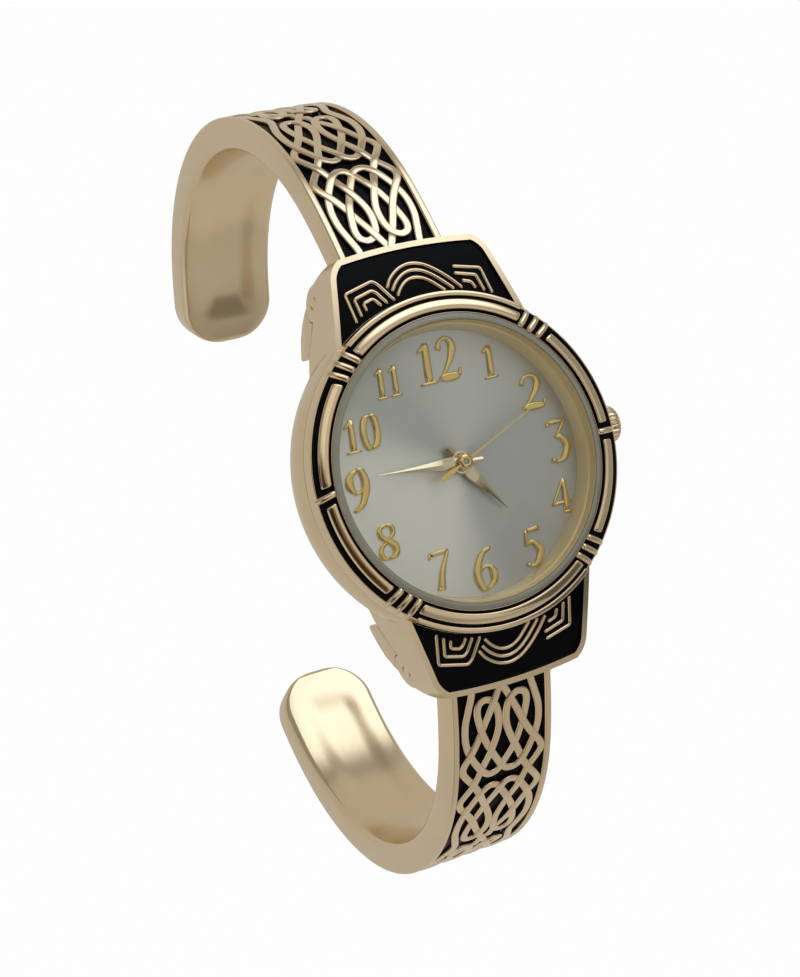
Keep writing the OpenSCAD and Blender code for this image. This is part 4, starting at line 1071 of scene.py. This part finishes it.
# %% Black fill
fill_outline = [
    (11.385, 7.15), (12.775, 7.15), (12.775, 7.5), (12.68, 7.46), (11.5, 7.46), (11.4, 7.5), (11.385, 7.5),
]
fill = spun(fillet(fill_outline, 0.02, 2), 288)
solid("bezel_fill", fill, 40, enamel, "case", "black_enamel", "bezel_enamel")

# %% [markdown]
# ### Wires: the ribs and the raised lines of the lugs
#
# Both are drawn lines with a radius at every point, which a node tree gives a round section of
# that radius. The radius falls off along a quarter circle at each end, so every wire ends in a
# small dome. The ribs are drawn once and set round the bezel as instances on points, each turned
# to face outward, because they are all alike. The number of sides is a named input.


# %% Drawn wires
def domed(line, radius, step=0.06):
    """Evenly spaced points along a line with radii that close it in a dome at both ends."""
    p = np.array(line, float)
    reach = np.concatenate([[0], np.cumsum(np.linalg.norm(np.diff(p, axis=0), axis=1))])
    total = reach[-1]
    dome = [radius * (1 - math.cos(a)) for a in np.linspace(0.15, math.pi / 2, 6)]
    inner = np.linspace(dome[-1], total - dome[-1], max(2, int((total - 2 * dome[-1]) / step)))
    out = []
    for x in [*dome[:-1], *inner, *(total - d for d in dome[-2::-1])]:
        size = math.sqrt(max(1 - (1 - min(x / radius, (total - x) / radius, 1)) ** 2, 0))
        out.append((*(float(np.interp(x, reach, p[:, k])) for k in range(3)), radius * max(size, 0.1) * MM))
    return out


def rounded_line(points, radius, steps=4):
    """Rounds the inner corners of an open line."""
    corners = zip(points, points[1:], points[2:])
    return [points[0], *(p for three in corners for p in round_corner(*three, radius, steps)), points[-1]]


def round_skin(g, curve, sides):
    disc = g.node("GeometryNodeCurvePrimitiveCircle", {"Resolution": sides, "Radius": 1.0})
    radius = g.node("GeometryNodeInputRadius")
    sockets = {"Curve": curve, "Profile Curve": disc, "Scale": radius, "Fill Caps": True}
    return g.node("GeometryNodeCurveToMesh", sockets)


wire_tree, g, given = new_tree("round_wire", Sides="Int", Metal="Material")
end_tree(g, round_skin(g, given(0), given(1)), given(2))
rib_tree, g, given = new_tree("ribs_round_bezel", Places="Object", Sides="Int", Metal="Material")
spots = g.node("GeometryNodeObjectInfo", {"Object": given(1)}, out=4, transform_space="RELATIVE")
turn = g.node("GeometryNodeInputNamedAttribute", {"Name": "turn"}, data_type="FLOAT")
facing = g.node("ShaderNodeCombineXYZ", {2: turn})
one_rib = round_skin(g, given(0), given(2))
ribs = g.node("GeometryNodeInstanceOnPoints", {"Points": spots, "Instance": one_rib, "Rotation": facing})
end_tree(g, ribs, given(3))
print("wire tree nodes:", len(wire_tree.nodes), "rib tree nodes:", len(rib_tree.nodes))

# %% Ribs round the bezel
RIB_R, RIB_AT = 0.29, 12.0
rib_leans = {THREE_AT: 0, 180: NINE_LEAN}
for half in (0, 1):
    for side in (-1, 1):
        for k in (-1, 0, 1):
            angle = 180 * half + side * (RIB_ANGLE + k * RIB_STEP)
            rib_leans[angle] = -RIB_LEAN * math.sin(math.radians(2 * angle))
angles = [math.radians(a) for a in rib_leans]
spot_mesh = bpy.data.meshes.new("rib_places")
spot_mesh.from_pydata([(RIB_AT * MM * math.cos(a), RIB_AT * MM * math.sin(a), 0) for a in angles], [], [])
turns = spot_mesh.attributes.new("turn", "FLOAT", "POINT")
turns.data.foreach_set("value", [math.radians(a + lean) for a, lean in rib_leans.items()])
rib_places = linked("rib_places", spot_mesh)
rib_path = [(11.26, 0, 7.68), (11.8, 0, 7.65), (12.4, 0, 7.5), (12.78, 0, 7.22), (12.88, 0, 6.64)]
rib_path = [(x - RIB_AT, y, z) for x, y, z in smooth_line(rib_path, 0.08)]
rib_line = drawn("rib", [domed(rib_path, RIB_R)])
ribs = run_tree(rib_line, rib_tree, "ribs", Places=rib_places, Sides=18, Metal=polished_gold)
bpy.data.objects.remove(rib_places)
piece("bezel_ribs", ribs, polished_gold, "case", "pale_gold")

# %% [markdown]
# ### Raised lines on the lug panels
#
# Each black panel carries three nested round arches between nested gables. They look like wire
# laid in the enamel, so they are drawn as lines and given the same round section. The panel is
# very slightly domed, and each point takes its height from that dome.

# %% Arches and gables
PANEL_R = 82.0
PANEL_Z = 6.8 - math.sqrt(PANEL_R**2 - 11.0**2)
LINE_R, LINE_DROP = 0.155, 0.215
ARCHES = [
    [(-2.55, 14.15), (-2.0, 14.9), (-1.1, 15.5), (-0.1, 15.72),
     (0.9, 15.5), (1.9, 14.85), (2.85, 13.95), (3.65, 13.0)],
    [(-2.2, 13.85), (-1.65, 14.5), (-0.9, 15.0), (-0.1, 15.17),
     (0.7, 15.0), (1.5, 14.5), (2.3, 13.75), (2.95, 13.05)],
    [(-1.9, 13.4), (-1.35, 14.05), (-0.75, 14.45), (-0.1, 14.58),
     (0.5, 14.45), (1.1, 14.1), (1.65, 13.6), (2.2, 13.05)],
]
GABLES = [
    [(-5.8, 12.0), (-6.05, 14.35), (-3.6, 14.95), (-3.2, 14.65), (-2.2, 13.1)],
    [(-5.25, 12.4), (-5.42, 13.85), (-3.85, 14.25), (-3.5, 14.0), (-2.85, 13.0)],
    [(-4.7, 12.75), (-4.82, 13.38), (-4.05, 13.6), (-3.8, 13.45), (-3.4, 12.9)],
    [(3.35, 14.85), (5.65, 14.3), (6.0, 12.1)],
    [(3.3, 14.3), (5.08, 13.82), (5.4, 12.4)],
    [(3.75, 13.6), (4.5, 13.38), (4.75, 12.75)],
]


def on_panel(line):
    return [(x, y, PANEL_Z + math.sqrt((PANEL_R - LINE_DROP) ** 2 - y * y)) for x, y in line]


lug_lines = [domed(on_panel(smooth_line(arch, 0.15)), LINE_R) for arch in ARCHES]
lug_lines += [domed(rounded_line(on_panel(gable), 0.22), LINE_R) for gable in GABLES]
upper_lines = run_tree(drawn("lug_lines", lug_lines), wire_tree, "upper_lines", Sides=14, Metal=polished_gold)
lower_lines = mirrored(upper_lines, "lower_lines")
piece("upper_lug_lines", upper_lines, polished_gold, "case", "pale_gold", "upper_lug_relief")
piece("lower_lug_lines", lower_lines, polished_gold, "case", "pale_gold", "lower_lug_relief")

# %% [markdown]
# ## Numerals
#
# The hour numerals are pressed out of thin sheet and plated: old-style figures with broad
# strokes that swell and fade like a broad pen's. Each stroke is a line with a width at every
# point. A skin over domed sections makes the stroke full in the middle and thin at its edge, so
# the figures catch the light as soft ridges. Text objects would need a font file and would be
# flat on top.

# %% Strokes of each figure
# A point is (across, up, width). The figure is 1 wide and 1 high, and the broadest stroke is 1.
PEN = {
    0: [[(0.56, 0.99, 0.36), (0.26, 0.88, 1), (0.14, 0.5, 1), (0.28, 0.1, 1), (0.56, 0.01, 0.36)],
        [(0.44, 0.01, 0.36), (0.76, 0.12, 1), (0.86, 0.5, 1), (0.74, 0.9, 1), (0.44, 0.99, 0.36)]],
    1: [[(0.5, 0.02, 1), (0.5, 0.97, 0.9)], [(0.12, 0.76, 0.36), (0.5, 0.92, 0.6)],
        [(0.1, 0.025, 0.36), (0.9, 0.025, 0.36)]],
    2: [[(0.1, 0.72, 0.8), (0.16, 0.9, 0.504), (0.4, 0.985, 0.432), (0.62, 0.92, 0.7), (0.72, 0.74, 1),
         (0.6, 0.5, 0.8), (0.3, 0.22, 0.432), (0.02, 0.05, 0.36)],
        [(0.02, 0.06, 0.5), (0.3, 0.08, 1), (0.66, 0.07, 1), (0.92, 0.06, 0.6)],
        [(0.9, 0.05, 0.36), (0.97, 0.24, 0.36)]],
    3: [[(0.12, 0.86, 0.36), (0.16, 0.95, 0.36)], [(0.14, 0.94, 0.5), (0.84, 0.95, 0.5)],
        [(0.8, 0.95, 0.36), (0.42, 0.58, 0.36)],
        [(0.36, 0.58, 0.36), (0.62, 0.56, 0.7), (0.8, 0.33, 1), (0.64, 0.08, 0.8), (0.4, 0.0, 0.36),
         (0.14, 0.08, 0.6)]],
    4: [[(0.66, 0.0, 1), (0.66, 0.98, 0.6)], [(0.64, 0.96, 0.36), (0.06, 0.26, 0.36)],
        [(0.06, 0.3, 0.45), (0.94, 0.3, 0.5)], [(0.5, 0.02, 0.36), (0.84, 0.02, 0.36)]],
    5: [[(0.26, 0.93, 0.5), (0.84, 0.95, 0.75)], [(0.27, 0.97, 0.36), (0.22, 0.52, 0.36)],
        [(0.2, 0.55, 0.36), (0.48, 0.62, 0.6), (0.78, 0.36, 1), (0.62, 0.08, 0.8), (0.38, 0.0, 0.36),
         (0.14, 0.08, 0.6)]],
    6: [[(0.78, 0.97, 0.36), (0.42, 0.84, 0.7), (0.2, 0.42, 1), (0.32, 0.08, 0.8), (0.54, 0.01, 0.36)],
        [(0.46, 0.01, 0.36), (0.76, 0.14, 0.8), (0.8, 0.36, 1), (0.62, 0.54, 0.36), (0.4, 0.52, 0.36),
         (0.22, 0.36, 0.36)]],
    7: [[(0.08, 0.82, 0.36), (0.14, 0.95, 0.36)], [(0.12, 0.93, 0.6), (0.88, 0.95, 0.5)],
        [(0.86, 0.95, 0.36), (0.58, 0.5, 0.7), (0.44, 0.02, 1)], [(0.26, 0.02, 0.36), (0.62, 0.02, 0.36)]],
    8: [[(0.56, 0.99, 0.36), (0.26, 0.92, 0.6), (0.26, 0.7, 0.7), (0.5, 0.54, 0.8), (0.78, 0.34, 1),
         (0.76, 0.1, 0.8), (0.46, 0.01, 0.36)],
        [(0.54, 0.01, 0.36), (0.24, 0.1, 0.7), (0.22, 0.34, 0.6), (0.5, 0.52, 0.36), (0.74, 0.7, 0.6),
         (0.7, 0.92, 0.6), (0.44, 0.99, 0.36)]],
    9: [[(0.24, 0.03, 0.36), (0.6, 0.18, 0.7), (0.8, 0.58, 1), (0.7, 0.92, 0.8), (0.46, 0.99, 0.36)],
        [(0.54, 0.99, 0.36), (0.26, 0.86, 0.8), (0.22, 0.64, 1), (0.4, 0.46, 0.36), (0.62, 0.48, 0.36),
         (0.78, 0.62, 0.36)]],
}
print("strokes:", sum(map(len, PEN.values())))

# %% Figures on the dial
# Each hour: digits, left, bottom, width of one digit, height
HOURS = [
    ((1, 2), -1.75, 6.35, 1.95, 3.3), ((1,), 3.75, 5.75, 1.6, 2.65), ((2,), 6.45, 2.65, 2.25, 2.7),
    ((3,), 7.55, -1.85, 2.4, 3.3), ((4,), 6.75, -5.85, 2.1, 2.7), ((5,), 3.2, -9.15, 2.15, 2.9),
    ((6,), -1.4, -9.95, 2.35, 3.2), ((7,), -4.95, -9.0, 2.15, 2.95), ((8,), -8.6, -5.7, 2.1, 2.6),
    ((9,), -9.98, -1.75, 2.2, 3.2), ((1, 0), -9.05, 2.65, 1.6, 2.55), ((1, 1), -5.5, 6.1, 1.25, 2.4),
]
BROADEST, SLANT, DIAL_Z, SUNK = 0.125, 0.12, 5.6, 0.01
DOME = ((1, 0), (1, 0.5), (0.9, 0.82), (0.66, 0.97), (0, 1))


def figure_stroke(line, width, height, left, bottom):
    """A domed ribbon along one pen stroke, standing on the dial."""
    middle = BROADEST * (width + height) / 2
    sized = [(x * width + SLANT * y * height, y * height, w * middle) for x, y, w in line]
    p = smooth_line(sized, 0.08) if len(line) > 2 else np.linspace(sized[0], sized[1], 12)
    way = np.gradient(p[:, :2], axis=0)
    way /= np.maximum(np.linalg.norm(way, axis=1, keepdims=True), 1e-9)
    rings = []
    last = len(p) - 1
    for i, ((x, y, w), (along_x, along_y)) in enumerate(zip(p, way)):
        end = 0.35 if i in (0, last) else 0.8 if i in (1, last - 1) else 1.0
        half = max(w, 0.05) * (0.75 + 0.25 * end)
        top = min(0.12 + 0.4 * half, 0.21) * end
        section = [(-half * u, top * h) for u, h in DOME] + [(half * u, top * h) for u, h in DOME[-2::-1]]
        at = left + x, bottom + y, DIAL_Z - SUNK
        rings.append([(at[0] - u * along_y, at[1] + u * along_x, at[2] + h) for u, h in section])
    return loft(rings)


figures = []
for digits, left, bottom, width, height in HOURS:
    for k, digit in enumerate(digits):
        start = left + k * width * 0.95
        figures += [figure_stroke(line, width, height, start, bottom) for line in PEN[digit]]
solid("hour_figures", gathered(figures), 50, figure_gold, "case", "numeral_gold", "hour_numerals")

# %% [markdown]
# ## Hands
#
# The hour and minute hands are slim lances pressed with a ridge down the middle, so one side is
# bright and the other dark. Each is a skin over five-sided sections: narrow at the hub, widest a
# third of the way out, then hollowed in to a needle point. The seconds hand is a plain needle
# with a counterweight, on a domed boss that covers the pipes.

# %% Lances, needle and boss
SHEET_T, HUB_T = 0.035, 0.14
HOUR_LOW, MINUTE_LOW, SECOND_LOW = 6.05, 6.4, 6.75


def lance(outline, low, ridge, clockwise):
    """Outline points are (distance from the centre, half-width). The angle starts at twelve."""
    a = math.radians(90 - clockwise)
    c, s = math.cos(a), math.sin(a)
    p = np.array(outline, float)
    reaches = np.arange(p[0][0], p[-1][0], 0.12)
    top = low + SHEET_T
    rings = []
    for reach, half in [*zip(reaches, np.interp(reaches, p[:, 0], p[:, 1])), p[-1]]:
        crest = top + ridge * min(1, half / 0.25)
        section = [(-half, low), (half, low), (half, top), (0, crest), (-half, top)]
        rings.append([(c * reach - s * u, s * reach + c * u, h) for u, h in section])
    return loft(rings)


def hub(radius, hole, low):
    high = low + HUB_T
    return spun(fillet([(hole, low), (radius, low), (radius, high), (hole, high)], 0.03, 2), 64)


minute_outline = [
    (-1.7, 0.18), (-0.6, 0.2), (0.0, 0.28), (0.6, 0.42), (1.1, 0.5), (1.5, 0.47), (2.4, 0.36), (3.6, 0.24),
    (5.2, 0.12), (7.2, 0.02),
]
hour_outline = [
    (-1.6, 0.3), (-1.2, 0.34), (-0.6, 0.3), (0.0, 0.32), (0.6, 0.45), (1.0, 0.55), (1.35, 0.53), (2.2, 0.38),
    (3.3, 0.22), (5.15, 0.02),
]
needle_outline = [(-2.5, 0.2), (-1.1, 0.2), (-0.8, 0.09), (0.0, 0.1), (3.0, 0.06), (7.4, 0.035)]
boss_outline = [(0.2, 0), (0.58, 0), (0.61, 0.07), (0.55, 0.17), (0.4, 0.24), (0.24, 0.25), (0.2, 0.2)]
boss = spun(fillet([(r, SECOND_LOW - 0.02 + h) for r, h in boss_outline], 0.04, 2), 64)
minute_parts = gathered([lance(minute_outline, MINUTE_LOW, 0.1, 274.8), hub(0.6, 0.42, MINUTE_LOW)])
hour_parts = gathered([lance(hour_outline, HOUR_LOW, 0.1, 146), hub(0.88, 0.67, HOUR_LOW)])
second_parts = gathered([lance(needle_outline, SECOND_LOW, 0.04, 67.5), boss])
solid("minute_lance", minute_parts, 25, hand_gold, "minute", "hand_gold", "minute_hand")
solid("hour_lance", hour_parts, 25, hand_gold, "hour", "hand_gold", "hour_hand")
solid("seconds_needle", second_parts, 30, figure_gold, "seconds", "hand_gold", "seconds_hand")

# %% [markdown]
# ## Crystal, its seat and the flange
#
# The crystal is a flat disc with a polished bevel. Round it runs a thin clear seat that looks
# grey-olive, and below it a slanted ring, the flange, hides the movement's edge. The bore beside
# the glass is gilt and shows through it, so flange and bore read as one tan band. Each is a
# closed outline spun about the dial's axis.

# %% Glass and rings
disc = fillet([(0, 7.1), (10.62, 7.1), (10.7, 7.16), (10.7, 7.7), (10.45, 7.95), (0, 7.95)], 0.02, 1)
seat = fillet([(10.79, 7.52), (11.29, 7.52), (11.29, 7.78), (11.0, 7.95), (10.79, 7.93)], 0.04, 3)
bore = fillet([(10.73, 6.95), (10.785, 6.95), (10.785, 7.8), (10.74, 7.86)], 0.01, 1)
flange = fillet([(10.3, 5.6), (10.88, 5.6), (10.88, 7.05), (10.55, 7.05)], 0.03, 2)
solid("glass_disc", spun(disc), 30, glass, "case", "crystal", "crystal")
solid("glass_seat", spun(seat), 30, clear_gasket, "case", "gasket", "crystal_gasket")
solid("gilt_bore", spun(bore), 30, flange_gold, "case", "flange_gold")
solid("slanted_flange", spun(flange), 30, flange_gold, "case", "flange_gold", "dial_flange")

# %% [markdown]
# ## Crown
#
# The setting crown is a small fluted knob with a domed end. It is a skin over rings along the
# stem, and each ring is wavy, so the flutes fade out on the dome and at the neck as they do on a
# turned and milled knob. Cutting flutes with booleans would leave them sharp to the very end.
# The first rings run down the bore that takes the stem.

# %% Fluted crown
FLUTES, FLUTE_DEPTH = 26, 0.075
crown_low, crown_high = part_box("crown")
CROWN_Y, CROWN_Z = ((crown_low[k] + crown_high[k]) / 2 / MM for k in (1, 2))
CROWN_START = crown_low[0] / MM
# Each ring: distance along the stem, radius, share of the full flute
crown_line = [
    (0.88, 0.06, 0), (0.88, 1.02, 0), (0.0, 1.02, 0), (0.0, 1.34, 0), (0.06, 1.46, 0.6), (0.16, 1.53, 1),
    (0.6, 1.54, 1), (0.86, 1.51, 1), (1.04, 1.43, 0.9), (1.18, 1.29, 0.5), (1.28, 1.08, 0.1), (1.35, 0.8, 0),
    (1.39, 0.4, 0), (1.4, 0.05, 0),
]
crown_rings = []
for reach, radius, milled in crown_line:
    ring = []
    for a in np.linspace(0, 2 * math.pi, FLUTES * 10, endpoint=False):
        wave = max(math.cos(FLUTES * a), -0.3) + 0.3
        r = radius - FLUTE_DEPTH * milled * wave
        ring.append((CROWN_START + reach, CROWN_Y + r * math.cos(a), CROWN_Z + r * math.sin(a)))
    crown_rings.append(ring)
solid("fluted_crown", loft(crown_rings), 40, case_gold, "crown", "gold", "crown")
